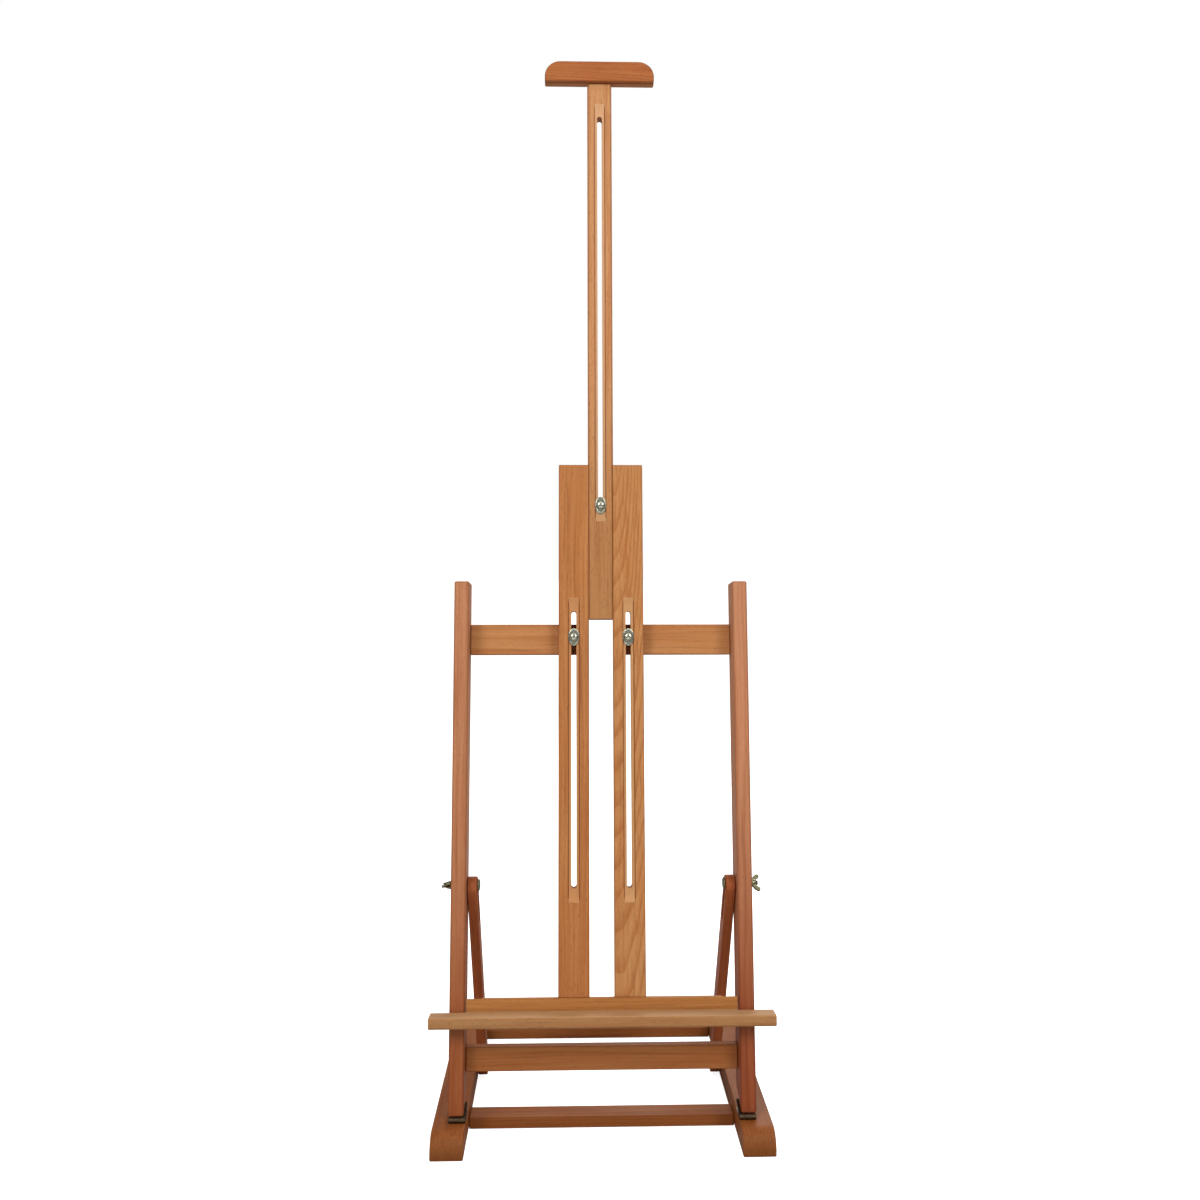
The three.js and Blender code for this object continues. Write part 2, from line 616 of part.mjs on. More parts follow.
function buildCarriage(group) {
  for (const [name, side] of SIDES) {
    place(group, `rail_${name}`, rail(side), BEECH);
    const bridgeScrew = aimed(screw(SCREW_LENGTH.bridge), TO_BACK, bridgeScrewAt(side));
    place(group, `bridge_screw_${name}`, bridgeScrew, ZINC);
    const shelfScrew = aimed(screw(SCREW_LENGTH.shelf), TO_BACK, shelfScrewAt(side));
    place(group, `shelf_screw_${name}`, shelfScrew, ZINC);
  }

  // Behind its ends the shelf bar is thinned, so that it passes in front of the struts.
  const { half, front, top, endFrom, endThick } = SHELF_BAR;
  const bar = block([-half, half], SHELF_BAR_Y, [RAIL.bottom, top]);
  const rebates = SIDES.map(([, side]) =>
    block(span(side, endFrom, half + 5), [front + endThick, RAIL_BACK], [RAIL.bottom - 5, top + 5]));
  const shelfHoles = SIDES.map(([, side]) =>
    aimed(screwHole(SCREW_LENGTH.shelf), TO_BACK, shelfScrewAt(side)));
  place(group, 'shelf_bar', cut(bar, ...rebates, ...shelfHoles), BEECH);
  place(group, 'shelf_lip', lip(), BEECH_PALE);

  const width = BRIDGE.width / 2;
  const bridge = block([-width, width], BRIDGE_Y, [BRIDGE.bottom, BRIDGE.top]);
  const holes = SIDES.map(([, side]) =>
    aimed(screwHole(SCREW_LENGTH.bridge), TO_BACK, bridgeScrewAt(side)));
  const boltHole = rod('y', M5.hole, BRIDGE_Y[0] - 5, BRIDGE_Y[1] + 5, [0, MAST_BOLT_Z]);
  place(group, 'bridge', cut(bridge, boltHole, ...holes), BEECH_DARK);
  clamp(group, 'mast', '', 0, MAST_BOLT_Z, BRIDGE_Y[1], 2);
}

// ---------------------------------------------------------------------------------------------
// Mast and head
// ---------------------------------------------------------------------------------------------

const LAP_FRONT = RAIL_BACK - MAST.lapDepth;

function headScrewAt(side) {
  return [side * 7, RAIL_BACK, (MAST.lap + MAST.top) / 2];
}

// The mast's section: a body that fills the gap between the rails, with a tongue on each edge.
function mast() {
  const half = MAST.width / 2;
  const [tongueFront, tongueBack] = TONGUE_Y;
  const wide = half + TONGUE.out;
  const section = polygon(
    [-half, RAIL.front], [half, RAIL.front], [half, tongueFront], [wide, tongueFront],
    [wide, tongueBack], [half, tongueBack], [half, RAIL_BACK], [-half, RAIL_BACK],
    [-half, tongueBack], [-wide, tongueBack], [-wide, tongueFront], [-half, tongueFront],
  );
  const length = MAST.top - MAST.bottom;
  const bar = new THREE.ExtrudeGeometry(section, { depth: length, bevelEnabled: false });
  bar.translate(0, 0, MAST.bottom);
  const lap = block([-20, 20], [RAIL.front - 5, LAP_FRONT], [MAST.lap - GAP, MAST.top + 5]);
  return cut(
    bar,
    lap,
    slotCutter(0, MAST_SLOT),
    grooveCutter(0, MAST_SLOT),
    ...SIDES.map(([, side]) => aimed(screwHole(SCREW_LENGTH.head), TO_BACK, headScrewAt(side))),
  );
}

// The head hooks over the mast's lap, and its underside has a kerf that grips the picture.
function head() {
  const { width, top, front, depth, corner } = HEAD;
  const half = width / 2;
  const bottom = MAST.lap;
  const rise = top - bottom;
  const shoulder = bottom + rise - corner;
  const outline = new THREE.Shape();
  outline.moveTo(-half, bottom);
  outline.lineTo(half, bottom);
  outline.absarc(half - corner, shoulder, corner, 0, Math.PI / 2, false);
  outline.absarc(-half + corner, shoulder, corner, Math.PI / 2, Math.PI, false);
  const back = front + depth;
  const blank = frontPiece(outline, front, back);
  const notchHalf = MAST.width / 2 + TONGUE.out + GAP;
  const notch = block([-notchHalf, notchHalf], [LAP_FRONT - GAP, back + 5], [bottom - 5, MAST.top + GAP]);
  const y = front + KERF.setback;
  const groove = polygon(
    [y - KERF.width / 2, bottom - 1],
    [y + KERF.width / 2, bottom - 1],
    [y, bottom + KERF.depth],
  );
  const kerf = sidePiece(groove, -half - 5, half + 5);
  const holes = SIDES.map(([, side]) => aimed(screwHole(SCREW_LENGTH.head), TO_BACK, headScrewAt(side)));
  return cut(blank, notch, kerf, ...holes);
}

function buildMast(group) {
  place(group, 'mast', mast(), BEECH);
  place(group, 'head', head(), BEECH);
  for (const [name, side] of SIDES) {
    const headScrew = aimed(screw(SCREW_LENGTH.head), TO_BACK, headScrewAt(side));
    place(group, `head_screw_${name}`, headScrew, ZINC);
  }
}

// ---------------------------------------------------------------------------------------------
// Assembly
// ---------------------------------------------------------------------------------------------

const easel = new THREE.Group();
const frame = new THREE.Group();
frame.position.set(0, HINGE.y, HINGE.z);
frame.rotation.x = -TILT;

buildBase(easel);
buildStruts(easel);
buildFrame(frame);
buildCarriage(frame);
buildMast(frame);
easel.add(frame);

export default easel;
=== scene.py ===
"""A wooden table easel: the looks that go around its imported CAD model.

Outlines and sizes are in millimetres, and Blender's own units are metres. Pieces of the leaning
frame are made in the frame's own space: origin on the hinge axis, Y to the back, Z up the frame.
"""

import json
import math
import random

import bmesh
import bpy
from mathutils import Matrix, Vector

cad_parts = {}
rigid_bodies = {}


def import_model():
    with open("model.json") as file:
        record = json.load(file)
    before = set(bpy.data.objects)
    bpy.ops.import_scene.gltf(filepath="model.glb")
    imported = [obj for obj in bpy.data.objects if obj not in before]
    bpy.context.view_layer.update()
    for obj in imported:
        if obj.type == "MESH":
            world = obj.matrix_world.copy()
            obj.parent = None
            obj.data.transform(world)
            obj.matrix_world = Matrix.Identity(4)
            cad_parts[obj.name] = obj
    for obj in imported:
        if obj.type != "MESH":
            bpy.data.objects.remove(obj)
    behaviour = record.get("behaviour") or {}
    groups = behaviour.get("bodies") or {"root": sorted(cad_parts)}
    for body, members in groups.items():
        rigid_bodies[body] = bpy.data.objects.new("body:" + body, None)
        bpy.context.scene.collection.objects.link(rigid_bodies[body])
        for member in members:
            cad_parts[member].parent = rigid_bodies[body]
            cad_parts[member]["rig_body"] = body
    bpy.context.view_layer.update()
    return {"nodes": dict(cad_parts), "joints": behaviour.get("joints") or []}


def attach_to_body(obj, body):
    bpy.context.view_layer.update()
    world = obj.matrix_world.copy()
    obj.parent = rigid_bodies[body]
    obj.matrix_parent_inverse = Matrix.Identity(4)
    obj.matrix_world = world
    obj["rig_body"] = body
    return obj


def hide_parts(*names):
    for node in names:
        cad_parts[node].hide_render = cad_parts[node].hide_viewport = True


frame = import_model()

MM = 0.001
SIDES = (("left", -1), ("right", 1))
JOINTS = {joint["name"]: joint for joint in frame["joints"]}

LEVEL = Matrix.Identity(4)
UP_FRAME = Vector(JOINTS["carriage_slide"]["axis"])
TILT = math.atan2(UP_FRAME.y, UP_FRAME.z)
LEANING = Matrix.Translation(JOINTS["tilt"]["pos_m"]) @ Matrix.Rotation(-TILT, 4, "X")

GAP = 0.3  # left between neighbouring pieces
PAST = 5  # how far a cutter reaches past what it cuts

# Shapes of the timber, as it was cut.
NOSE = 20  # radius of the skids' upper corners
POST_BEVEL = math.radians(26)  # slope of the posts' lower ends
SLOT_WIDTH = 5.6
# STRIP is painted shade: the width of the darkened strips along a groove's walls.
STRIP = 0.8  # width of the dark strips along a groove's walls
GROOVE = {"width": 12.6, "depth": 1.6, "beyond": 15, "runout": 12}
RAIL_SLOT = (229.6, 526.3)
MAST_SLOT = (641.2, 1101.7)
TONGUE = {"out": 1.2, "thick": 5, "play": 0.35}
LAP = {"depth": 8, "rise": 18.3}
HEAD_CORNER = 18
KERF = {"width": 1.2, "depth": 2.6, "setback": 4.6}
SHELF_BAR = {"half": 143.2, "end_from": 127, "end_thick": 3.2}
LIP = {"round": 3, "notch_play": 0.8}
# Least is the tilt bolt's least distance from the strut's pivot, where the slot starts but for its
# play. Short is how far the upper end's arc is centred below the bolt at rest.
STRUT = {"thick": 10.4, "round": 10.5, "slot": 9, "least": 220.2, "play": 1, "short": 2}

# Marks on the timber.
RING = 0.0034  # width of a growth ring, in metres
FLAT = 0.995  # how squarely a flat face looks along one of its board's axes, at least
EASED = 0.8  # an eased edge's faces are narrower than this

# Hardware.
SHANK = 2.5
BORE = 2.85
THREAD = {"length": 11, "pitch": 0.8, "depth": 0.3}
HINGE = {"width": 17.4, "radius": 2.8, "leaf": 1, "reach": 24, "bore": 1.5, "play": 0.5}
LEAF_DROP = {"lower": 2.7, "upper": 1.5}  # from the hinge's axis down to a leaf's underside
WING = {"span": 21, "hub": 4.4, "hub_top": 3.3, "hub_height": 5, "height": 9, "thick": 2.4}
NUT_ACROSS = 8
NUT_ROOM = 5.6
NUT_RECESS = 7
SCREW = {"head": 3.1, "shank": 1.5}
ACROSS = {"x": (1, 2), "y": (0, 2)}  # the other two axes, by index


def extent(node, space=LEANING):
    """A CAD node's lowest and highest corners in a space, in millimetres."""
    inverse = space.inverted()
    points = [inverse @ vertex.co for vertex in frame["nodes"][node].data.vertices]
    low = Vector([min(p[i] for p in points) for i in range(3)]) / MM
    high = Vector([max(p[i] for p in points) for i in range(3)]) / MM
    return low, high


def middle(node, space=LEANING):
    low, high = extent(node, space)
    return (low + high) / 2


# ------------------------------------------------------------------------------------------------
# Node graphs
# ------------------------------------------------------------------------------------------------


class Graph:
    """A material's node tree, with a short call for each kind of node used here."""

    def __init__(self, name):
        self.material = bpy.data.materials.new(name)
        self.material.use_nodes = True
        self.tree = self.material.node_tree
        self.shader = self.tree.nodes["Principled BSDF"]

    def node(self, kind, inputs=None, **settings):
        made = self.tree.nodes.new("ShaderNode" + kind)
        for key, value in settings.items():
            setattr(made, key, value)
        for key, value in (inputs or {}).items():
            self.feed(made.inputs[key], value)
        return made

    def feed(self, socket, value):
        if isinstance(value, bpy.types.NodeSocket):
            self.tree.links.new(value, socket)
        else:
            socket.default_value = value

    def math(self, operation, a, b=0.0):
        return self.node("Math", {0: a, 1: b}, operation=operation).outputs[0]

    def scale(self, vector, factors):
        return self.node("VectorMath", {0: vector, 1: factors}, operation="MULTIPLY").outputs[0]

    def add(self, vector, other):
        return self.node("VectorMath", {0: vector, 1: other}, operation="ADD").outputs[0]

    def noise(self, vector, detail=2.0, rough=0.5):
        inputs = {"Vector": vector, "Scale": 1.0, "Detail": detail, "Roughness": rough}
        return self.node("TexNoise", inputs)

    def remap(self, value, low, high, to_low=0.0, to_high=1.0):
        inputs = {"Value": value, 1: low, 2: high, 3: to_low, 4: to_high}
        return self.node("MapRange", inputs, interpolation_type="SMOOTHSTEP").outputs[0]

    def mix(self, factor, a, b, blend="MIX"):
        made = self.node("Mix", data_type="RGBA", blend_type=blend, clamp_factor=True)
        self.feed(made.inputs[0], factor)
        self.feed(made.inputs[6], a)
        self.feed(made.inputs[7], b)
        return made.outputs[2]


def rgb(red, green, blue):
    """Screen colour numbers, 0 to 255, as a linear colour."""
    linear = []
    for value in (red, green, blue):
        v = value / 255
        linear.append(v / 12.92 if v <= 0.04045 else ((v + 0.055) / 1.055) ** 2.4)
    return (*linear, 1.0)


def shaded(color, factor):
    return (*[channel * factor for channel in color[:3]], 1.0)


def growth_rings(graph, place):
    """How close a point is to the dark edge of its growth ring, 0 to 1, round a pith on the X axis."""
    parts = graph.node("SeparateXYZ", {0: place}).outputs
    square = graph.math("ADD", graph.math("POWER", parts[1], 2.0), graph.math("POWER", parts[2], 2.0))
    turns = graph.math("MULTIPLY", graph.math("SQRT", square), 1 / RING)
    within = graph.math("FRACT", turns)
    late = graph.remap(within, 0.40, 0.93)
    return graph.math("MULTIPLY", late, graph.remap(within, 1.0, 0.95))


def beech(name, color, figure=0.5, fleck=0.5, warmth=0.5, low=None, fade=(0.02, 0.45)):
    """Oiled beech. The grain attribute holds each point's place in the board: X along the grain,
    in metres. Figure is how strongly the growth rings show, fleck how strongly the rays and pores
    do, and warmth how strong the redder patches are. Low is the colour at the lower of the two
    heights in fade, in metres."""
    graph = Graph(name)
    place = graph.node("Attribute", attribute_name="grain").outputs["Vector"]
    cut = graph.node("Attribute", attribute_name="cut").outputs["Fac"]
    fresh_and_painted_light = graph.node("Attribute", attribute_name="fresh_and_painted_light").outputs["Fac"]
    stain_and_painted_shade = graph.node("Attribute", attribute_name="stain_and_painted_shade").outputs["Fac"]
    edge = graph.node("Attribute", attribute_name="edge").outputs["Fac"]

    wander = graph.noise(graph.scale(place, (4.0, 22.0, 22.0)), detail=2.0)
    centred = graph.add(wander.outputs["Color"], (-0.5, -0.5, -0.5))
    bent = graph.add(place, graph.scale(centred, (0.0, 0.010, 0.010)))
    rings = growth_rings(graph, bent)

    streak = graph.noise(graph.scale(bent, (6.0, 380.0, 380.0)), detail=4.0, rough=0.62)
    band = graph.noise(graph.scale(bent, (3.0, 110.0, 110.0)), detail=3.0, rough=0.55)
    cloud = graph.noise(graph.scale(place, (9.0, 16.0, 16.0)), detail=3.0)
    cells = graph.node(
        "TexVoronoi",
        {"Vector": graph.scale(place, (300.0, 1500.0, 1500.0)), "Scale": 1.0, "Randomness": 1.0},
    )
    pores = graph.remap(cells.outputs["Distance"], 0.30, 0.16)
    rays = graph.noise(graph.scale(place, (150.0, 800.0, 800.0)), detail=1.0)
    dashes = graph.remap(rays.outputs["Fac"], 0.60, 0.72)

    if low:
        height = graph.node("SeparateXYZ", {0: graph.node("TexCoord").outputs["Object"]}).outputs[2]
        base = graph.mix(graph.remap(height, *fade), low, color)
    else:
        base = color

    def toned(red, green, blue):
        return graph.mix(1.0, base, (red, green, blue, 1.0), "MULTIPLY")

    patches = graph.remap(cloud.outputs["Fac"], 0.34, 0.68, 0.0, 0.90 * warmth)
    tint = graph.mix(patches, base, toned(0.93, 0.76, 0.64))
    tint = graph.mix(graph.remap(band.outputs["Fac"], 0.52, 0.72, 0.0, 0.70), tint, toned(1.08, 1.14, 1.22))
    tint = graph.mix(graph.remap(band.outputs["Fac"], 0.48, 0.28, 0.0, 0.80), tint, toned(0.86, 0.70, 0.56))
    tint = graph.mix(graph.math("MULTIPLY", rings, 0.60 * figure), tint, toned(0.70, 0.48, 0.34))
    tint = graph.mix(graph.remap(streak.outputs["Fac"], 0.50, 0.72, 0.0, 0.75), tint, toned(0.66, 0.56, 0.48))
    tint = graph.mix(graph.remap(streak.outputs["Fac"], 0.48, 0.28, 0.0, 0.60), tint, toned(1.12, 1.16, 1.22))
    tint = graph.mix(graph.math("MULTIPLY", dashes, 0.60 * fleck), tint, toned(0.55, 0.50, 0.46))
    tint = graph.mix(graph.math("MULTIPLY", pores, 0.40 * fleck), tint, toned(0.45, 0.40, 0.36))
    # Paler faces: partly wood cut after oiling, partly painted light on faces the lamps leave dim.
    tint = graph.mix(graph.math("MULTIPLY", fresh_and_painted_light, 0.80), tint, toned(1.15, 1.34, 1.65))
    tint = graph.mix(graph.math("MULTIPLY", cut, 0.50), tint, toned(0.55, 0.50, 0.46))
    tint = graph.mix(graph.math("MULTIPLY", edge, 0.45), tint, toned(0.62, 0.48, 0.40))
    # Darker faces: painted shade in recesses, along walls and behind other pieces.
    tint = graph.mix(graph.math("MULTIPLY", stain_and_painted_shade, 0.85), tint, toned(0.48, 0.22, 0.12))
    graph.feed(graph.shader.inputs["Base Color"], tint)

    rough = graph.remap(cloud.outputs["Fac"], 0.3, 0.7, 0.46, 0.58)
    rough = graph.math("ADD", rough, graph.math("MULTIPLY", pores, 0.12))
    graph.feed(graph.shader.inputs["Roughness"], rough)
    graph.shader.inputs["Specular IOR Level"].default_value = 0.12

    height = graph.math("SUBTRACT", streak.outputs["Fac"], graph.math("MULTIPLY", pores, 0.9))
    height = graph.math("SUBTRACT", height, graph.math("MULTIPLY", rings, 0.15))
    bump = graph.node("Bump", {"Height": height, "Strength": 0.30, "Distance": 0.00012})
    graph.feed(graph.shader.inputs["Normal"], bump.outputs["Normal"])
    return graph.material


def steel(name, color, rough, grime=0.3):
    """Plated steel: cloudy plating with darker patches, and fine scratches."""
    graph = Graph(name)
    place = graph.node("TexCoord").outputs["Object"]
    cloud = graph.noise(graph.scale(place, (260.0, 260.0, 260.0)), detail=3.0)
    grain = graph.noise(graph.scale(place, (2600.0, 2600.0, 900.0)), detail=2.0)
    stain_and_painted_shade = graph.remap(cloud.outputs["Fac"], 0.42, 0.72, 0.0, grime)
    tint = graph.mix(stain_and_painted_shade, color, shaded(color, 0.45))
    graph.feed(graph.shader.inputs["Base Color"], tint)
    graph.shader.inputs["Metallic"].default_value = 1.0
    roughness = graph.remap(cloud.outputs["Fac"], 0.3, 0.7, rough - 0.06, rough + 0.10)
    graph.feed(graph.shader.inputs["Roughness"], roughness)
    bump = graph.node("Bump", {"Height": grain.outputs["Fac"], "Strength": 0.12, "Distance": 0.00005})
    graph.feed(graph.shader.inputs["Normal"], bump.outputs["Normal"])
    return graph.material


WOODS = {
    "mast": beech(
        "beech_mast",
        rgb(181, 129, 85),
        figure=0.15,
        fleck=1.0,
        warmth=0.4,
        low=rgb(163, 114, 70),
        fade=(0.60, 0.85),
    ),
    "head": beech("beech_head", rgb(156, 93, 50), figure=0.9, fleck=0.7, warmth=0.7),
    "rail_left": beech("beech_rail_left", rgb(168, 110, 63), figure=0.5, fleck=0.8),
    "rail_right": beech("beech_rail_right", rgb(173, 120, 72), figure=1.0, fleck=0.5),
    "crossbar": beech("beech_crossbar", rgb(173, 119, 73), figure=0.5, fleck=0.5),
    "post_left": beech("beech_post_left", rgb(171, 116, 81), figure=0.5, fleck=0.6, low=rgb(141, 79, 43)),
    "post_right": beech("beech_post_right", rgb(176, 121, 87), figure=0.6, fleck=0.5, low=rgb(133, 66, 36)),
    "shelf_bar": beech("beech_bar", rgb(166, 112, 61), figure=0.4, fleck=0.7),
    "shelf_lip": beech("beech_lip", rgb(154, 110, 69), figure=0.2, fleck=1.0, warmth=0.3),
    "base": beech("beech_base", rgb(130, 75, 34), figure=0.5, fleck=0.5, warmth=0.6),
    "dark": beech("beech_dark", rgb(148, 93, 50), figure=0.4, fleck=0.5, warmth=0.7),
    "strut": beech("beech_strut", rgb(148, 81, 45), figure=0.5, fleck=0.5, warmth=0.8),
}
ZINC = steel("zinc_plate", rgb(172, 174, 156), 0.25)
DULL_ZINC = steel("dull_zinc_plate", rgb(122, 118, 92), 0.30, grime=0.6)
HINGE_STEEL = steel("hinge_plate", rgb(84, 70, 55), 0.38, grime=0.8)

# ------------------------------------------------------------------------------------------------
# Mesh tools
# ------------------------------------------------------------------------------------------------

# Where an outline's two axes go, and the prism's own.
PLACES = {
    "x": lambda a, b, c: (c, a, b),
    "y": lambda a, b, c: (a, c, b),
    "z": lambda a, b, c: (a, b, c),
}
ARC = 16  # segments in a quarter turn


def arc(centre, radius, start, end, segments=ARC):
    """Points on an arc, in degrees, both ends included."""
    points = []
    for i in range(segments + 1):
        angle = math.radians(start + (end - start) * i / segments)
        points.append((centre[0] + radius * math.cos(angle), centre[1] + radius * math.sin(angle)))
    return points


def rectangle(low, high):
    return [(low[0], low[1]), (high[0], low[1]), (high[0], high[1]), (low[0], high[1])]


def capsule(centre, low, high, radius):
    """An upright round-ended outline whose end arcs are centred at low and high."""
    top = arc((centre, high), radius, 0, 180, 2 * ARC)
    return top + arc((centre, low), radius, 180, 360, 2 * ARC)


def prism(outline, axis, low, high):
    """A closed prism: an outline in the other two axes, from low to high along one."""
    bm = bmesh.new()
    rims = []
    for at in (low, high):
        rims.append([bm.verts.new(Vector(PLACES[axis](a, b, at)) * MM) for a, b in outline])
    bm.faces.new(rims[0])
    bm.faces.new(rims[1])
    for i in range(len(outline)):
        j = (i + 1) % len(outline)
        bm.faces.new((rims[0][i], rims[0][j], rims[1][j], rims[1][i]))
    bmesh.ops.recalc_face_normals(bm, faces=bm.faces)
    return bm


def box(low, high):
    return prism(rectangle(low[:2], high[:2]), "z", low[2], high[2])


def rod(axis, centre, radius, low, high, segments=32):
    """A round bar along an axis."""
    return prism(arc(centre, radius, 0, 360 - 360 / segments, segments - 1), axis, low, high)


def lathe(profile, segments=48):
    """A turned solid about +Z from [radius, height] pairs; it closes on the axis at both ends."""
    bm = bmesh.new()
    rings = []
    for radius, height in profile:
        if radius < 1e-6:
            rings.append([bm.verts.new((0, 0, height * MM))])
            continue
        ring = []
        for i in range(segments):
            angle = 2 * math.pi * i / segments
            point = (radius * math.cos(angle), radius * math.sin(angle), height)
            ring.append(bm.verts.new(Vector(point) * MM))
        rings.append(ring)
    for a, b in zip(rings, rings[1:]):
        for i in range(segments):
            j = (i + 1) % segments
            corners = [a[i % len(a)], a[j % len(a)], b[j % len(b)], b[i % len(b)]]
            unique = list(dict.fromkeys(corners))
            if len(unique) > 2:
                bm.faces.new(unique)
    if len(rings[0]) > 1 and len(rings[-1]) > 1:
        for i in range(segments):
            j = (i + 1) % segments
            bm.faces.new((rings[-1][i], rings[-1][j], rings[0][j], rings[0][i]))
    bmesh.ops.recalc_face_normals(bm, faces=bm.faces)
    return bm


def aim(axis, sign, at):
    """Turns +Z onto an axis and puts the origin at a point in millimetres."""
    direction = Vector([float(axis == letter) * sign for letter in "xyz"])
    turn = Vector((0, 0, 1)).rotation_difference(direction).to_matrix().to_4x4()
    return Matrix.Translation(Vector(at) * MM) @ turn


def ease(bm, width, segments=3, above=50):
    """Rounds every edge whose faces meet at more than an angle in degrees."""
    limit = math.radians(above)
    sharp = [edge for edge in bm.edges if edge.is_manifold and edge.calc_face_angle() > limit]
    bmesh.ops.bevel(
        bm,
        geom=sharp,
        offset=width * MM,
        segments=segments,
        profile=0.5,
        affect="EDGES",
        clamp_overlap=True,
    )
    return bm


def to_object(name, bm):
    mesh = bpy.data.meshes.new(name)
    bm.to_mesh(mesh)
    bm.free()
    made = bpy.data.objects.new(name, mesh)
    bpy.context.scene.collection.objects.link(made)
    return made


def from_object(source):
    """The object's mesh with its modifiers applied, as a bmesh; the object is removed."""
    depsgraph = bpy.context.evaluated_depsgraph_get()
    mesh = bpy.data.meshes.new_from_object(source.evaluated_get(depsgraph))
    bm = bmesh.new()
    bm.from_mesh(mesh)
    bpy.data.meshes.remove(mesh)
    bpy.data.objects.remove(source)
    return bm


def combine(bm, others, operation="DIFFERENCE"):
    """The solid with others cut away, or joined on."""
    target = to_object("target", bm)
    tools = [to_object("tool", other) for other in others]
    for tool in tools:
        modifier = target.modifiers.new("boolean", "BOOLEAN")
        modifier.operation = operation
        modifier.solver = "EXACT"
        modifier.object = tool
    result = from_object(target)
    for tool in tools:
        bpy.data.objects.remove(tool)
    return result


def clean(bm):
    bmesh.ops.remove_doubles(bm, verts=bm.verts, dist=0.002 * MM)
    bmesh.ops.dissolve_limit(bm, angle_limit=math.radians(0.5), verts=bm.verts, edges=bm.edges)
    return bm


def smooth(piece, angle=32):
    """Smooth shading with the flats kept flat: wide faces weigh most, sharp edges stay sharp."""
    mesh = piece.data
    mesh.shade_smooth()
    mesh.set_sharp_from_angle(angle=math.radians(angle))
    modifier = piece.modifiers.new("weighted", "WEIGHTED_NORMAL")
    modifier.keep_sharp = True
    depsgraph = bpy.context.evaluated_depsgraph_get()
    piece.data = bpy.data.meshes.new_from_object(piece.evaluated_get(depsgraph))
    piece.data.name = piece.name
    piece.modifiers.clear()
    bpy.data.meshes.remove(mesh)
    return piece


def span(side, near, far):
    """The stretch between two distances from the middle, on one side."""
    return (-far, -near) if side < 0 else (near, far)


def add_grain(piece, space, axis, seed, pith, slope):
    """Writes each vertex's place in its board, X along the grain, and where the grain is cut across.
    The pith is how far the tree's middle is from the frame's own axes, in millimetres, and the
    slope is how much nearer it comes along the board."""
    mesh = piece.data
    draw = random.Random(seed)
    start = Vector((draw.uniform(-3, 3), pith[0] * MM, pith[1] * MM))
    order = {"x": (0, 1, 2), "y": (1, 0, 2), "z": (2, 0, 1)}[axis]
    inverse = space.inverted()
    grain = mesh.attributes.new("grain", "FLOAT_VECTOR", "POINT")
    for vertex, value in zip(mesh.vertices, grain.data):
        local = inverse @ vertex.co
        lean = Vector((0, 0, slope * local[order[0]]))
        value.vector = Vector([local[i] for i in order]) + start + lean
    cut = mesh.attributes.new("cut", "FLOAT", "FACE")
    turn = inverse.to_3x3()
    for polygon, value in zip(mesh.polygons, cut.data):
        value.value = abs((turn @ polygon.normal)[order[0]]) ** 3


def mark(piece, label, boxes):
    """Marks the faces inside some boxes of the leaning frame. The paler marks are partly wood cut after
    the timber was oiled and partly painted light on faces the lamps leave dim; the darker marks are
    painted shade in recesses, along walls and behind other pieces."""
    mesh = piece.data
    inverse = LEANING.inverted()
    marked = mesh.attributes.new(label, "FLOAT", "FACE")
    for polygon, value in zip(mesh.polygons, marked.data):
        at = (inverse @ polygon.center) / MM
        inside = [all(low[i] < at[i] < high[i] for i in range(3)) for low, high in boxes]
        value.value = float(any(inside))


def add_edge(piece, space):
    """Marks the eased edges, which the wood's material makes darker than the flat faces."""
    mesh = piece.data
    turn = space.inverted().to_3x3()
    edge = mesh.attributes.new("edge", "FLOAT", "FACE")
    for polygon, value in zip(mesh.polygons, edge.data):
        square = max(abs(component) for component in turn @ polygon.normal)
        corners = [mesh.vertices[i].co for i in polygon.vertices]
        narrow = min((a - b).length for a, b in zip(corners, corners[1:] + corners[:1]))
        value.value = float(square < FLAT and narrow < EASED * MM)


def split(bm, axis, places):
    """Cuts flat loops across the mesh at places along an axis, so that faces end there."""
    normal = Vector([float(axis == letter) for letter in "xyz"])
    for at in places:
        everything = bm.verts[:] + bm.edges[:] + bm.faces[:]
        bmesh.ops.bisect_plane(bm, geom=everything, plane_co=normal * at * MM, plane_no=normal)
    return bm


def attach(piece, node):
    """Makes a piece move with its CAD node's body and stand for that node."""
    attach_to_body(piece, frame["nodes"][node]["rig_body"])
    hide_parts(node)
    return piece


def board(node, bm, space, axis, wood, seed, pith, slope=0.0):
    """Finishes a piece of timber that stands for one CAD node, its grain along an axis of a space.
    The shelf lip's edges are no darker than its faces."""
    piece = to_object(node + "_wood", bm)
    piece.data.transform(space)
    smooth(piece)
    add_grain(piece, space, axis, seed, pith, slope)
    if wood != "shelf_lip":
        add_edge(piece, space)
    piece.data.materials.append(WOODS[wood])
    return attach(piece, node)


def screw_holes(name):
    """The countersunk holes for a pair of screws, driven from the back."""
    holes = []
    for side_name, _ in SIDES:
        low, high = extent(f"{name}_screw_{side_name}")
        at = (low + high) / 2
        at.y = high.y
        deep = low.y - high.y - GAP
        bore = SCREW["shank"] + 0.25
        mouth = SCREW["head"] + 0.15
        neck = SCREW["shank"] - SCREW["head"]
        hole = lathe([(0, deep), (bore, deep), (bore, neck), (mouth, -0.2), (mouth, 2), (0, 2)], 40)
        hole.transform(aim("y", 1, at))
        holes.append(hole)
    return holes


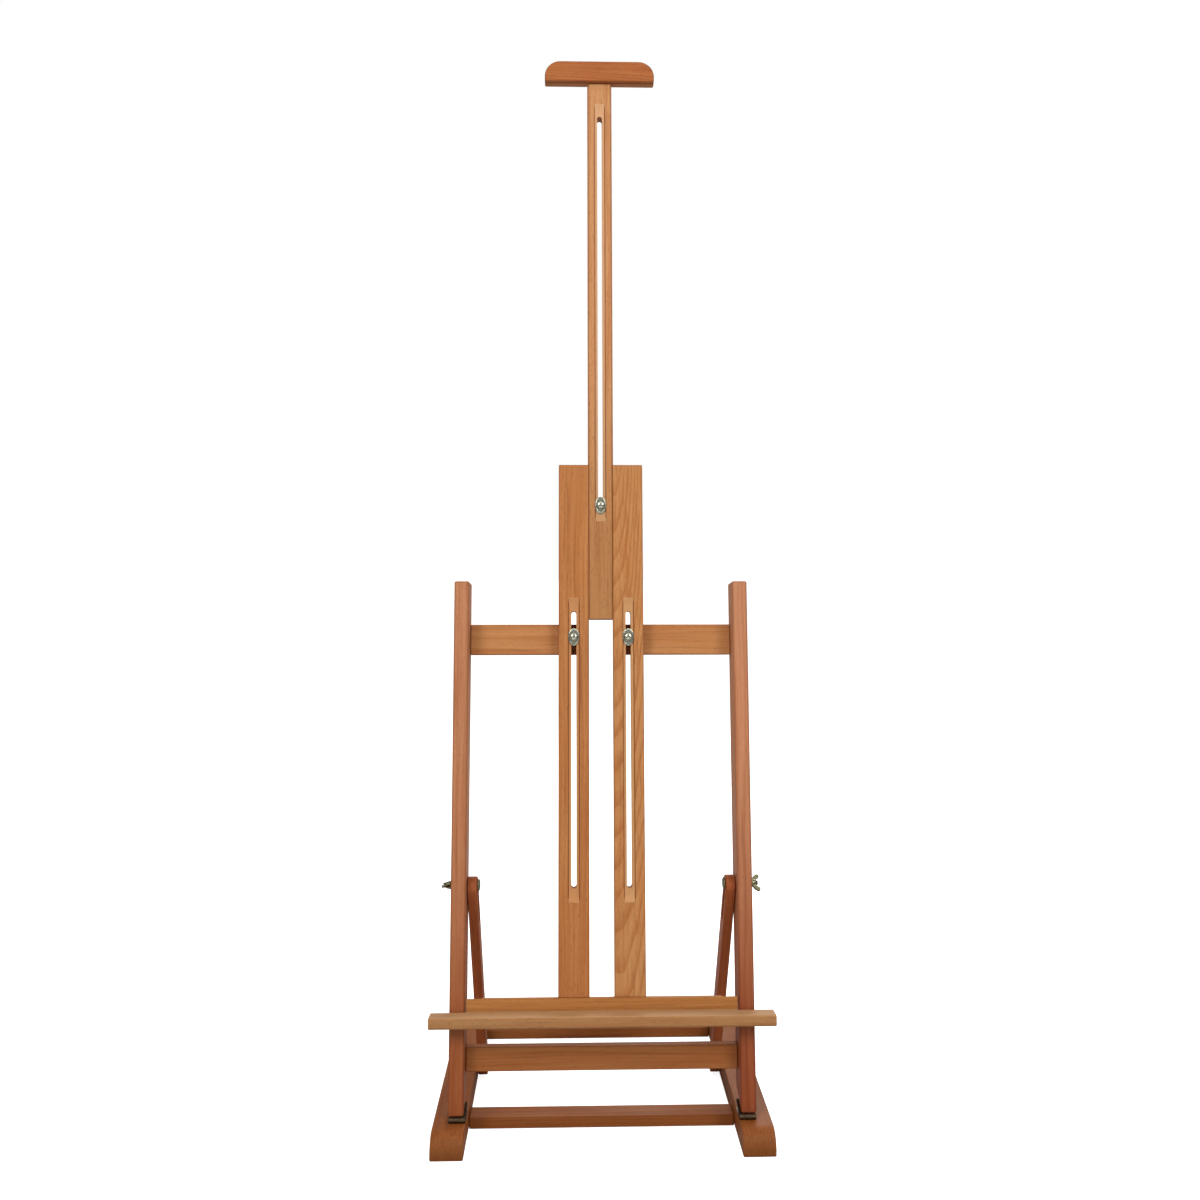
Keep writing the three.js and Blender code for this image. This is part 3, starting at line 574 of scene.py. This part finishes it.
def plain_board(node, space, axis, wood, seed, eased, pith=(60, 45), ends=None, screws=None):
    """A squared board the size of its CAD node, its edges eased; ends are its X ends where the
    node has hidden tenons, and screws names the pair of screws let into its back."""
    low, high = extent(node, space)
    if ends:
        low.x, high.x = ends
    bm = ease(box(low, high), eased)
    if screws:
        bm = clean(combine(bm, screw_holes(screws)))
    return board(node, bm, space, axis, wood, seed, pith)


def plating(node):
    """The hinges have browned, and the hardware at the sides is duller than the clamps in front."""
    if node.startswith("hinge"):
        return HINGE_STEEL
    if node.startswith(("tilt", "strut")):
        return DULL_ZINC
    return ZINC


def metal(node, bm, space, angle=32):
    """Finishes a piece of hardware that stands for one CAD node."""
    piece = to_object(node + "_metal", bm)
    piece.data.transform(space)
    smooth(piece, angle)
    piece.data.materials.append(plating(node))
    attach(piece, node)


# ------------------------------------------------------------------------------------------------
# Camera
# ------------------------------------------------------------------------------------------------

camera = bpy.data.objects.new("camera", bpy.data.cameras.new("camera"))
bpy.context.scene.collection.objects.link(camera)
camera.data.sensor_width = 36
camera.data.lens = 32.94
camera.data.shift_y = -0.0341
camera.location = (-0.0325, -1.2692, 0.6058)
camera.rotation_euler = (math.radians(90), 0, math.radians(-1.49))
bpy.context.scene.camera = camera

# ------------------------------------------------------------------------------------------------
# Base and struts
# ------------------------------------------------------------------------------------------------


def build_foot(name, side):
    node = f"foot_{name}"
    low, high = extent(node, LEVEL)
    back = arc((high.y - NOSE, high.z - NOSE), NOSE, 0, 90)
    front = arc((low.y + NOSE, high.z - NOSE), NOSE, 90, 180)
    outline = [(low.y, low.z), (high.y, low.z)] + back + front
    bm = ease(prism(outline, "x", low.x, high.x), 1.6)
    inner, outer = (low.x, high.x) if side > 0 else (high.x, low.x)
    pivot = middle(f"strut_pivot_nut_{name}", LEVEL)
    at = (pivot.y, pivot.z)
    recess = rod("x", at, NUT_ROOM, *sorted((outer - NUT_RECESS * side, outer + PAST * side)))
    hole = rod("x", at, BORE, *sorted((inner - PAST * side, outer)))
    bm = ease(clean(combine(bm, [recess, hole])), 0.4, segments=2, above=60)
    board(node, bm, LEVEL, "y", "base", seed=11 + side, pith=(70 * side, 40))


def build_strut(name, side):
    """A slotted bar from its pivot in the skid up past the tilt bolt, leaning outwards a little."""
    node = f"strut_{name}"
    pivot = Vector(JOINTS[f"strut_{name}_pivot"]["pos_m"])
    along = LEANING @ (middle(f"tilt_bolt_{name}") * MM) - pivot
    reach = math.hypot(along.y, along.z) / MM
    top = reach - STRUT["short"]
    length = top + 2 * STRUT["round"]
    low, high = extent(node, LEVEL)
    lean = math.asin((high.x - low.x - STRUT["thick"]) / length)
    turn = Matrix.Rotation(-math.atan2(along.y, along.z), 4, "X")
    space = Matrix.Translation(pivot) @ turn @ Matrix.Rotation(side * lean, 4, "Y")
    half = STRUT["thick"] / 2
    bm = ease(prism(capsule(0, 0, top, STRUT["round"]), "x", -half, half), 1.0)
    slot = capsule(0, STRUT["least"] - STRUT["play"], reach, STRUT["slot"] / 2)
    through = (-half - PAST, half + PAST)
    cutters = [prism(slot, "x", *through), rod("x", (0, 0), BORE, *through)]
    bm = ease(clean(combine(bm, cutters)), 0.4, segments=2, above=60)
    board(node, bm, space, "z", "strut", seed=31 + side, pith=(40 * side, 30))


for side_name, side_sign in SIDES:
    build_foot(side_name, side_sign)
    build_strut(side_name, side_sign)
inner_faces = (extent("foot_left", LEVEL)[1].x + GAP, extent("foot_right", LEVEL)[0].x - GAP)
for stretcher, seed in (("front_stretcher", 21), ("rear_stretcher", 22)):
    plain_board(stretcher, LEVEL, "x", "base", seed, eased=1.2, ends=inner_faces)

# ------------------------------------------------------------------------------------------------
# Leaning frame
# ------------------------------------------------------------------------------------------------


def build_post(name, side):
    node = f"post_{name}"
    low, high = extent(node)
    rise = (high.y - low.y) * math.tan(POST_BEVEL)
    outline = [(low.y, low.z), (high.y, low.z + rise), (high.y, high.z), (low.y, high.z)]
    bm = ease(prism(outline, "x", low.x, high.x), 1.9, segments=4, above=40)
    board(node, bm, LEANING, "z", node, seed=41 + side, pith=(-120 * side, 70))


def build_arm(name, side):
    node = f"crossbar_{name}"
    low, high = extent(node)
    post_low, post_high = extent(f"post_{name}")
    if side < 0:
        low.x = post_high.x + GAP
    else:
        high.x = post_low.x - GAP
    rail_low, rail_high = extent(f"rail_{name}")
    behind = (rail_low.x, rail_high.x)
    bm = split(ease(box(low, high), 1.1), "x", behind)
    piece = board(node, bm, LEANING, "x", "crossbar", seed=51 + side, pith=(50, -480))
    # Painted shade: the arm's front is darkened where it lies behind the rail, as the rail's shade.
    mark(piece, "stain_and_painted_shade", [((behind[0], low.y - 1, low.z - 1), (behind[1], low.y + 2, high.z + 1))])


for side_name, side_sign in SIDES:
    build_post(side_name, side_sign)
    build_arm(side_name, side_sign)
post_faces = (extent("post_left")[1].x + GAP, extent("post_right")[0].x - GAP)
plain_board("lower_rail", LEANING, "x", "dark", seed=61, eased=1.1, pith=(40, 30), ends=post_faces)

# ------------------------------------------------------------------------------------------------
# Carriage and mast
# ------------------------------------------------------------------------------------------------


def groove(centre, slot, front):
    """The shallow groove that a bolt's plate runs in: it runs out in a curve at each end."""
    depth, runout = GROOVE["depth"], GROOVE["runout"]
    low, high = slot[0] - GROOVE["beyond"], slot[1] + GROOVE["beyond"]
    outline = [(front - 2, low)]
    steps = 14
    for i in range(steps + 1):
        t = i / steps
        outline.append((front + depth * (1 - (1 - t) ** 2), low + runout * t))
    for i in range(steps + 1):
        t = 1 - i / steps
        outline.append((front + depth * (1 - (1 - t) ** 2), high - runout * t))
    outline.append((front - 2, high))
    half = GROOVE["width"] / 2
    return prism(outline, "x", centre - half, centre + half)


def slot_hole(centre, slot, low_y, high_y):
    radius = SLOT_WIDTH / 2
    outline = capsule(centre, slot[0] + radius, slot[1] - radius, radius)
    return prism(outline, "y", low_y - PAST, high_y + PAST)


def groove_strips(centre):
    """Where the strips of painted shade along the groove's walls begin and end."""
    half = GROOVE["width"] / 2
    return [centre - half, centre - half + STRIP, centre + half - STRIP, centre + half]


def mark_groove(piece, centre, slot, low, high):
    """The groove and the slot are paler than the face, partly as fresh cut wood and partly as
    painted light, and strips of painted shade run along the groove's walls.
    """
    half = GROOVE["width"] / 2 + 0.1
    bottom, top = slot[0] - GROOVE["beyond"], slot[1] + GROOVE["beyond"]
    below_face = low.y + 0.05
    mark(piece, "fresh_and_painted_light", [((centre - half, below_face, bottom), (centre + half, high.y, top))])
    west, west_end, east_end, east = groove_strips(centre)
    floor = low.y + GROOVE["depth"] + 0.1
    clear = 0.35 * GROOVE["runout"]
    # The strips along the groove's walls carry painted shade.
    strips = []
    for x0, x1 in ((west - 0.3, west_end), (east_end, east + 0.3)):
        strips.append(((x0, below_face, bottom + clear), (x1, floor, top - clear)))
    mark(piece, "stain_and_painted_shade", strips)


def build_rail(name, side, pith, slope):
    node = f"rail_{name}"
    low, high = extent(node)
    centre = (low.x + high.x) / 2
    inner = low.x if side > 0 else high.x
    bar_high = extent("shelf_bar")[1]
    bm = ease(box(low, high), 1.1, segments=4)
    deep = TONGUE["out"] + TONGUE["play"]
    tongue_half = TONGUE["thick"] / 2 + TONGUE["play"]
    rail_middle = (low.y + high.y) / 2
    channel_x = sorted((inner - 2 * side, inner + deep * side))
    cutters = screw_holes("shelf") + [
        groove(centre, RAIL_SLOT, low.y),
        slot_hole(centre, RAIL_SLOT, low.y, high.y),
        box(
            (channel_x[0], rail_middle - tongue_half, low.z - PAST),
            (channel_x[1], rail_middle + tongue_half, high.z + PAST),
        ),
        box(
            (low.x - PAST, low.y - PAST, low.z - PAST),
            (high.x + PAST, bar_high.y + GAP, bar_high.z + GAP),
        ),
    ]
    bm = ease(clean(combine(bm, cutters)), 0.25, segments=2, above=60)
    split(bm, "x", groove_strips(centre)[1:3])
    piece = board(node, bm, LEANING, "z", node, 71 + side, pith, slope)
    mark_groove(piece, centre, RAIL_SLOT, low, high)


def build_mast():
    low, high = extent("mast")
    half = high.x - TONGUE["out"]
    wide = high.x
    centre = (low.y + high.y) / 2
    near, far = centre - TONGUE["thick"] / 2, centre + TONGUE["thick"] / 2
    bm = ease(box((-half, low.y, low.z), (half, high.y, high.z)), 0.8)
    tongues = [box((-wide, near, low.z), (wide, far, high.z))]
    bm = combine(bm, tongues, "UNION")
    shoulder = high.z - LAP["rise"] - GAP
    cutters = screw_holes("head") + [
        groove(0, MAST_SLOT, low.y),
        slot_hole(0, MAST_SLOT, low.y, high.y),
        box((-wide - PAST, low.y - PAST, shoulder), (wide + PAST, high.y - LAP["depth"], high.z + PAST)),
    ]
    bm = ease(clean(combine(bm, cutters)), 0.25, segments=2, above=60)
    split(bm, "x", groove_strips(0)[1:3])
    piece = board("mast", bm, LEANING, "z", "mast", seed=81, pith=(90, 50))
    mark_groove(piece, 0, MAST_SLOT, low, high)


def build_head():
    low, high = extent("head")
    mast_high = extent("mast")[1]
    radius = HEAD_CORNER
    right = arc((high.x - radius, high.z - radius), radius, 0, 90, 24)
    left = arc((low.x + radius, high.z - radius), radius, 90, 180, 24)
    bm = ease(prism([(low.x, low.z), (high.x, low.z)] + right + left, "y", low.y, high.y), 1.5, segments=4)
    notch_half = mast_high.x + GAP
    lap_front = mast_high.y - LAP["depth"] - GAP
    kerf_y = low.y + KERF["setback"]
    kerf_outline = [
        (kerf_y - KERF["width"] / 2, low.z - 0.4),
        (kerf_y + KERF["width"] / 2, low.z - 0.4),
        (kerf_y, low.z + KERF["depth"]),
    ]
    cutters = [
        box((-notch_half, lap_front, low.z - PAST), (notch_half, high.y + PAST, mast_high.z + GAP)),
        prism(kerf_outline, "x", low.x - PAST, high.x + PAST),
    ]
    bm = clean(combine(bm, cutters))
    piece = board("head", bm, LEANING, "x", "head", seed=83, pith=(6, -1105), slope=0.05)
    # Painted light: the underside behind the kerf is made paler, standing in for light thrown up from below.
    underside = ((low.x, kerf_y + 1, low.z - 1), (high.x, high.y - 1, low.z + 0.1))
    mark(piece, "fresh_and_painted_light", [underside])
    # Painted shade: the kerf's faces are darkened, standing in for the shade inside it.
    kerf = ((low.x, kerf_y - 1, low.z + 0.1), (high.x, kerf_y + 1, low.z + KERF["depth"]))
    mark(piece, "stain_and_painted_shade", [kerf])


def build_lip():
    low, high = extent("shelf_lip")
    post_front = extent("post_left")[0].y
    radius = LIP["round"]
    upper = arc((low.y + radius, high.z - radius), radius, 90, 180, 8)
    lower = arc((low.y + radius, low.z + radius), radius, 180, 270, 8)
    outline = [(high.y, low.z), (high.y, high.z)] + upper + lower
    bm = prism(outline, "x", low.x, high.x)
    cutters = []
    for _, side in SIDES:
        x0, x1 = span(side, SHELF_BAR["half"], high.x + PAST)
        y0 = post_front - LIP["notch_play"]
        cutters.append(box((x0, y0, low.z - PAST), (x1, high.y + PAST, high.z + PAST)))
    bm = ease(clean(combine(bm, cutters)), 0.9, segments=3, above=50)
    piece = board("shelf_lip", bm, LEANING, "x", "shelf_lip", seed=91, pith=(60, -60))
    # Painted light: the top face is made paler, as if lit more strongly from above.
    mark(piece, "fresh_and_painted_light", [((low.x, low.y, high.z - 0.7), (high.x, high.y, high.z + 0.1))])


def build_shelf_bar():
    """The bar across the rails, thinned behind its ends."""
    low, high = extent("shelf_bar")
    cutters = []
    for _, side in SIDES:
        x0, x1 = span(side, SHELF_BAR["end_from"], high.x + PAST)
        y0 = low.y + SHELF_BAR["end_thick"]
        cutters.append(box((x0, y0, low.z - PAST), (x1, high.y + PAST, high.z + PAST)))
    bm = ease(combine(box(low, high), cutters), 0.5)
    board("shelf_bar", bm, LEANING, "x", "shelf_bar", seed=92, pith=(50, -70))


build_rail("left", -1, pith=(95, 60), slope=0.0)
build_rail("right", 1, pith=(-14, -88), slope=0.1)
build_mast()
build_head()
build_shelf_bar()
build_lip()
plain_board("bridge", LEANING, "x", "dark", seed=93, eased=1.2, pith=(50, -600), screws="bridge")

# ------------------------------------------------------------------------------------------------
# Hardware
# ------------------------------------------------------------------------------------------------


def dome(radius, height):
    """The profile of a domed head, from its rim to its crown."""
    steps = 14
    points = [(radius, 0), (radius, 0.25)]
    for i in range(1, steps):
        angle = math.pi / 2 * i / steps
        points.append((radius * math.cos(angle), 0.25 + (height - 0.25) * math.sin(angle)))
    return points + [(0, height)]


def bolt_profile(length, head):
    """A headed bolt from its tip at -length to its crown; the head's underside is at 0."""
    pitch = THREAD["pitch"]
    root = SHANK - THREAD["depth"]
    points = [(0, -length), (SHANK - 0.5, -length), (SHANK, -length + 0.5)]
    for i in range(int(THREAD["length"] / pitch)):
        at = -length + 0.5 + i * pitch
        points += [(root, at + 0.3 * pitch), (SHANK, at + 0.8 * pitch), (SHANK, at + pitch)]
    return points + [(SHANK, 0)] + head


def build_bolt(node, space, axis, sign, head_radius, head_height):
    """A domed bolt along X or Y whose head faces the sign's way."""
    low, high = extent(node, space)
    index = "xyz".index(axis)
    at = (low + high) / 2
    at[index] = (high if sign > 0 else low)[index] - sign * head_height
    length = high[index] - low[index] - head_height
    profile = bolt_profile(length, dome(head_radius, head_height))
    metal(node, lathe(profile), space @ aim(axis, sign, at))


def build_washer(node, space, axis):
    """A washer with softened rims."""
    edge = 0.2
    low, high = extent(node, space)
    index = "xyz".index(axis)
    at = (low + high) / 2
    at[index] = low[index]
    thick = high[index] - low[index]
    radius = max(high[i] - low[i] for i in range(3) if i != index) / 2
    profile = [
        (BORE, edge), (BORE + edge, 0), (radius - edge, 0), (radius, edge),
        (radius, thick - edge), (radius - edge, thick), (BORE + edge, thick), (BORE, thick - edge),
    ]
    metal(node, lathe(profile, 64), space @ aim(axis, 1, at))


def build_plate(node):
    """The oval plate under a bolt's head, dished a little inside its rim."""
    low, high = extent(node)
    centre = ((low.x + high.x) / 2, (low.z + high.z) / 2)
    half = ((high.x - low.x) / 2, (high.z - low.z) / 2)
    thick = high.y - low.y
    rings = []
    bm = bmesh.new()
    segments = 64
    # Each ring is how far in from the edge it lies, and how far back from the front.
    profile = [(0, thick), (0, 0.45), (0.12, 0.2), (0.4, 0.03), (0.8, 0), (1.4, 0.2), (2.4, 0.3)]
    for inset, back in profile:
        ring = []
        for i in range(segments):
            angle = 2 * math.pi * i / segments
            x = centre[0] + (half[0] - inset) * math.cos(angle)
            z = centre[1] + (half[1] - inset) * math.sin(angle)
            ring.append(bm.verts.new(Vector((x, low.y + back, z)) * MM))
        rings.append(ring)
    for a, b in zip(rings, rings[1:]):
        for i in range(segments):
            j = (i + 1) % segments
            bm.faces.new((a[i], a[j], b[j], b[i]))
    bm.faces.new(rings[0])
    bm.faces.new(rings[-1])
    bmesh.ops.recalc_face_normals(bm, faces=bm.faces)
    hole = rod("y", centre, BORE, low.y - PAST, high.y + PAST)
    metal(node, combine(bm, [hole]), LEANING)


def wing_outline():
    """One wing, from inside the hub out to its rounded ear."""
    span_half, height, hub = WING["span"] / 2, WING["height"], WING["hub"]
    ear = 2.5
    centre = (span_half - ear, height - ear)
    under = []
    steps = 8
    for i in range(steps + 1):
        t = i / steps
        x = hub * 0.8 + (span_half - hub * 0.8) * t
        under.append((x, 0.9 + (centre[1] - 0.9) * t ** 2.2))
    over = arc(centre, ear, 0, 140, 12)
    inward = []
    last = over[-1]
    for i in range(1, steps + 1):
        t = i / steps
        x = last[0] + (WING["hub_top"] - 1 - last[0]) * t
        inward.append((x, last[1] + (WING["hub_height"] - 0.4 - last[1]) * (1 - (1 - t) ** 2)))
    return under + over + inward + [(0, WING["hub_height"] - 0.4), (0, 0.9)]


def wing_angle(node, axis):
    """Which way the CAD nut's wings point, round its axis."""
    centre = middle(node)
    inverse = LEANING.inverted()
    first, second = ACROSS[axis]
    sums = [0.0, 0.0, 0.0]
    for vertex in frame["nodes"][node].data.vertices:
        point = (inverse @ vertex.co) / MM - centre
        a, b = point[first], point[second]
        if math.hypot(a, b) > 0.35 * WING["span"]:
            sums = [sums[0] + a * a, sums[1] + b * b, sums[2] + a * b]
    return 0.5 * math.atan2(2 * sums[2], sums[0] - sums[1])


def build_wing_nut(node, axis, sign):
    """A cast wing nut: hub and wings are joined, then the casting's skin is smoothed over them."""
    low, high = extent(node)
    index = "xyz".index(axis)
    at = (low + high) / 2
    at[index] = (low if sign > 0 else high)[index]
    hub, top, rise = WING["hub"], WING["hub_top"], WING["hub_height"]
    core = lathe([(0, 0), (hub, 0), (hub, 0.8), (top, rise), (0, rise)])
    half = WING["thick"] / 2
    wings = []
    for mirror in (1, -1):
        outline = [(mirror * x, z) for x, z in wing_outline()]
        wings.append(prism(outline, "y", -half, half))
    bm = combine(combine(core, wings, "UNION"), [rod("z", (0, 0), BORE - 0.1, -PAST, WING["height"] + PAST)])
    blank = to_object("casting", bm)
    remesh = blank.modifiers.new("skin", "REMESH")
    remesh.mode = "VOXEL"
    remesh.voxel_size = 0.3 * MM
    soften = blank.modifiers.new("soften", "SMOOTH")
    soften.factor = 0.5
    soften.iterations = 5
    bm = from_object(blank)
    facing = aim(axis, sign, (0, 0, 0))
    across = ACROSS[axis]
    first = facing @ Vector((1, 0, 0))
    second = facing @ Vector((0, 1, 0))
    wanted = wing_angle(node, axis)
    target = Vector((0, 0, 0))
    target[across[0]], target[across[1]] = math.cos(wanted), math.sin(wanted)
    spin = Matrix.Rotation(math.atan2(target.dot(second), target.dot(first)), 4, "Z")
    metal(node, bm, LEANING @ aim(axis, sign, at) @ spin, angle=60)


def build_screw(node, space):
    """A countersunk wood screw whose cross-slotted head is at the back."""
    low, high = extent(node, space)
    at = (low + high) / 2
    at.y = high.y
    length = high.y - low.y
    head, shank = SCREW["head"], SCREW["shank"]
    profile = [(0, -length), (shank - 0.1, -length + 3), (shank, -head + shank), (head, -0.25)]
    profile += [(head, -0.1), (head - 0.15, 0), (0, 0)]
    cross = []
    for long, wide in ((1.8, 0.35), (0.35, 1.8)):
        cross.append(box((-long, -wide, -1.3), (long, wide, 2)))
    bm = ease(clean(combine(lathe(profile, 40), cross)), 0.08, segments=1, above=70)
    metal(node, bm, space @ aim("y", 1, at))


def build_hex_nut(name, side):
    node = f"strut_pivot_nut_{name}"
    low, high = extent(node, LEVEL)
    thick = high.x - low.x
    corner = NUT_ACROSS / math.sqrt(3)
    hexagon = prism(arc((0, 0), corner, 0, 300, 5), "z", 0, thick)
    flat = NUT_ACROSS / 2 + 0.15
    wide = corner + 0.1
    crown = lathe([(0, 0), (flat, 0), (wide, 0.5), (wide, thick - 0.5), (flat, thick), (0, thick)])
    bm = combine(combine(hexagon, [crown], "INTERSECT"), [rod("z", (0, 0), BORE - 0.2, -PAST, thick + PAST)])
    at = (low + high) / 2
    at.x = low.x if side > 0 else high.x
    metal(node, bm, aim("x", side, at))


def build_hinge(name):
    """Two leaves about the hinge axis: the outer knuckles are the lower leaf's, the middle one the
    upper leaf's, and a pin runs through all three."""
    centre = middle(f"hinge_pin_{name}").x
    half = HINGE["width"] / 2
    knuckle = HINGE["width"] / 6
    outer = [(-3 * knuckle, -knuckle - GAP), (knuckle + GAP, 3 * knuckle)]
    inner = [(-knuckle, knuckle)]
    lower_space = Matrix.Translation(Vector(JOINTS["tilt"]["pos_m"]) + Vector((centre * MM, 0, 0)))
    upper_space = LEANING @ Matrix.Translation((centre * MM, 0, 0)) @ Matrix.Rotation(POST_BEVEL, 4, "X")
    room = HINGE["radius"] + HINGE["play"]
    for label, space, own, other in (
        ("lower", lower_space, outer, inner),
        ("upper", upper_space, inner, outer),
    ):
        drop = LEAF_DROP[label]
        slab = box((-half, 0, -drop), (half, HINGE["reach"], HINGE["leaf"] - drop))
        spaces = [box((x0 - GAP, -1, -room), (x1 + GAP, room, room)) for x0, x1 in other]
        barrels = [rod("x", (0, 0), HINGE["radius"], x0, x1, 40) for x0, x1 in own]
        bm = combine(combine(slab, spaces), barrels, "UNION")
        bm = combine(bm, [rod("x", (0, 0), HINGE["bore"], -half - 1, half + 1, 28)])
        metal(f"hinge_leaf_{label}_{name}", ease(clean(bm), 0.18, segments=2, above=60), space)
    low, high = extent(f"hinge_pin_{name}", LEVEL)
    length = high.x - low.x
    radius = (high.z - low.z) / 2
    start = [(0, 0), (radius - 0.4, 0), (radius, 0.4)]
    profile = start + [(radius, length - 0.4), (radius - 0.4, length), (0, length)]
    at = (low.x, (low.y + high.y) / 2, (low.z + high.z) / 2)
    metal(f"hinge_pin_{name}", lathe(profile, 32), aim("x", 1, at))


for side_name, side_sign in SIDES:
    build_hinge(side_name)
    build_hex_nut(side_name, side_sign)
    build_bolt(f"strut_pivot_bolt_{side_name}", LEVEL, "x", -side_sign, 4.6, 2.9)
    build_bolt(f"tilt_bolt_{side_name}", LEANING, "x", -side_sign, 6.6, 2.2)
    build_washer(f"tilt_washer_{side_name}", LEANING, "x")
    build_wing_nut(f"tilt_wing_nut_{side_name}", "x", side_sign)
    for screw in ("bridge", "shelf", "head"):
        build_screw(f"{screw}_screw_{side_name}", LEANING)
for clamp in ("rail_{}_left", "rail_{}_right", "mast_{}"):
    build_bolt(clamp.format("bolt"), LEANING, "y", -1, 4.6, 2.9)
    build_washer(clamp.format("washer"), LEANING, "y")
    build_plate(clamp.format("bolt_plate"))
    build_wing_nut(clamp.format("wing_nut"), "y", 1)

# The hinge screws sit between closed leaves, so their CAD shapes stay.
for side_name, _ in SIDES:
    for leaf in ("lower", "upper"):
        screw_node = frame["nodes"][f"hinge_screw_{leaf}_{side_name}"]
        screw_node.material_slots[0].material = HINGE_STEEL

# ------------------------------------------------------------------------------------------------
# Light, floor and the last lines
# ------------------------------------------------------------------------------------------------


def seen_directly(nodes):
    """1 for what the camera sees itself, 0 for light on its way to the easel."""
    return nodes.new("ShaderNodeLightPath").outputs["Is Camera Ray"]


def build_stage():
    """A pale floor, brighter where the camera sees it than in the light it throws back up."""
    bpy.ops.mesh.primitive_plane_add(size=60, location=(0, 0, 0))
    floor = bpy.context.object
    floor.name = "floor"
    graph = Graph("floor")
    direct = seen_directly(graph.tree.nodes)
    seen = graph.mix(direct, (0.50, 0.50, 0.50, 1), (0.75, 0.75, 0.75, 1))
    graph.feed(graph.shader.inputs["Base Color"], seen)
    graph.feed(graph.shader.inputs["Emission Strength"], graph.math("MULTIPLY", direct, 0.85))
    graph.shader.inputs["Roughness"].default_value = 0.9
    graph.shader.inputs["Specular IOR Level"].default_value = 0.0
    graph.shader.inputs["Emission Color"].default_value = (1, 1, 1, 1)
    floor.data.materials.append(graph.material)


def area_light(name, location, target, size, power):
    data = bpy.data.lights.new(name, "AREA")
    data.shape = "RECTANGLE"
    data.size, data.size_y = size
    data.energy = power
    light = bpy.data.objects.new(name, data)
    light.location = location
    aim_at = Vector(target) - Vector(location)
    light.rotation_euler = aim_at.to_track_quat("-Z", "Y").to_euler()
    bpy.context.scene.collection.objects.link(light)


def build_world():
    """White wherever the camera sees it; as light, a room that is brightest overhead."""
    world = bpy.data.worlds.new("studio")
    world.use_nodes = True
    nodes, links = world.node_tree.nodes, world.node_tree.links
    split_direction = nodes.new("ShaderNodeSeparateXYZ")
    links.new(nodes.new("ShaderNodeTexCoord").outputs["Generated"], split_direction.inputs[0])
    fade = nodes.new("ShaderNodeMapRange")
    links.new(split_direction.outputs["Z"], fade.inputs["Value"])
    fade.inputs["From Min"].default_value = 0.0
    fade.inputs["From Max"].default_value = 1.0
    fade.inputs["To Min"].default_value = 0.28
    fade.inputs["To Max"].default_value = 0.65
    choice = nodes.new("ShaderNodeMix")
    links.new(seen_directly(nodes), choice.inputs["Factor"])
    links.new(fade.outputs["Result"], choice.inputs["A"])
    choice.inputs["B"].default_value = 1.0
    background = nodes["Background"]
    background.inputs["Color"].default_value = (1, 1, 1, 1)
    links.new(choice.outputs["Result"], background.inputs["Strength"])
    bpy.context.scene.world = world


def build_lights():
    area_light("key_left", (-1.4, -1.7, 1.9), (0, 0, 0.55), (0.8, 1.1), 34)
    area_light("key_right", (1.4, -1.7, 1.9), (0, 0, 0.55), (0.8, 1.1), 31)
    area_light("low_fill", (0, -1.9, 0.12), (0, 0, 0.9), (1.6, 0.2), 4)
    area_light("back_fill", (0.7, 2.1, 1.7), (0, 0, 0.5), (1.6, 1.2), 30)
    area_light("top", (0, -0.5, 3.2), (0, 0, 0.3), (2.0, 1.6), 12)
    bpy.context.scene.view_settings.view_transform = "Standard"


build_stage()
build_world()
build_lights()
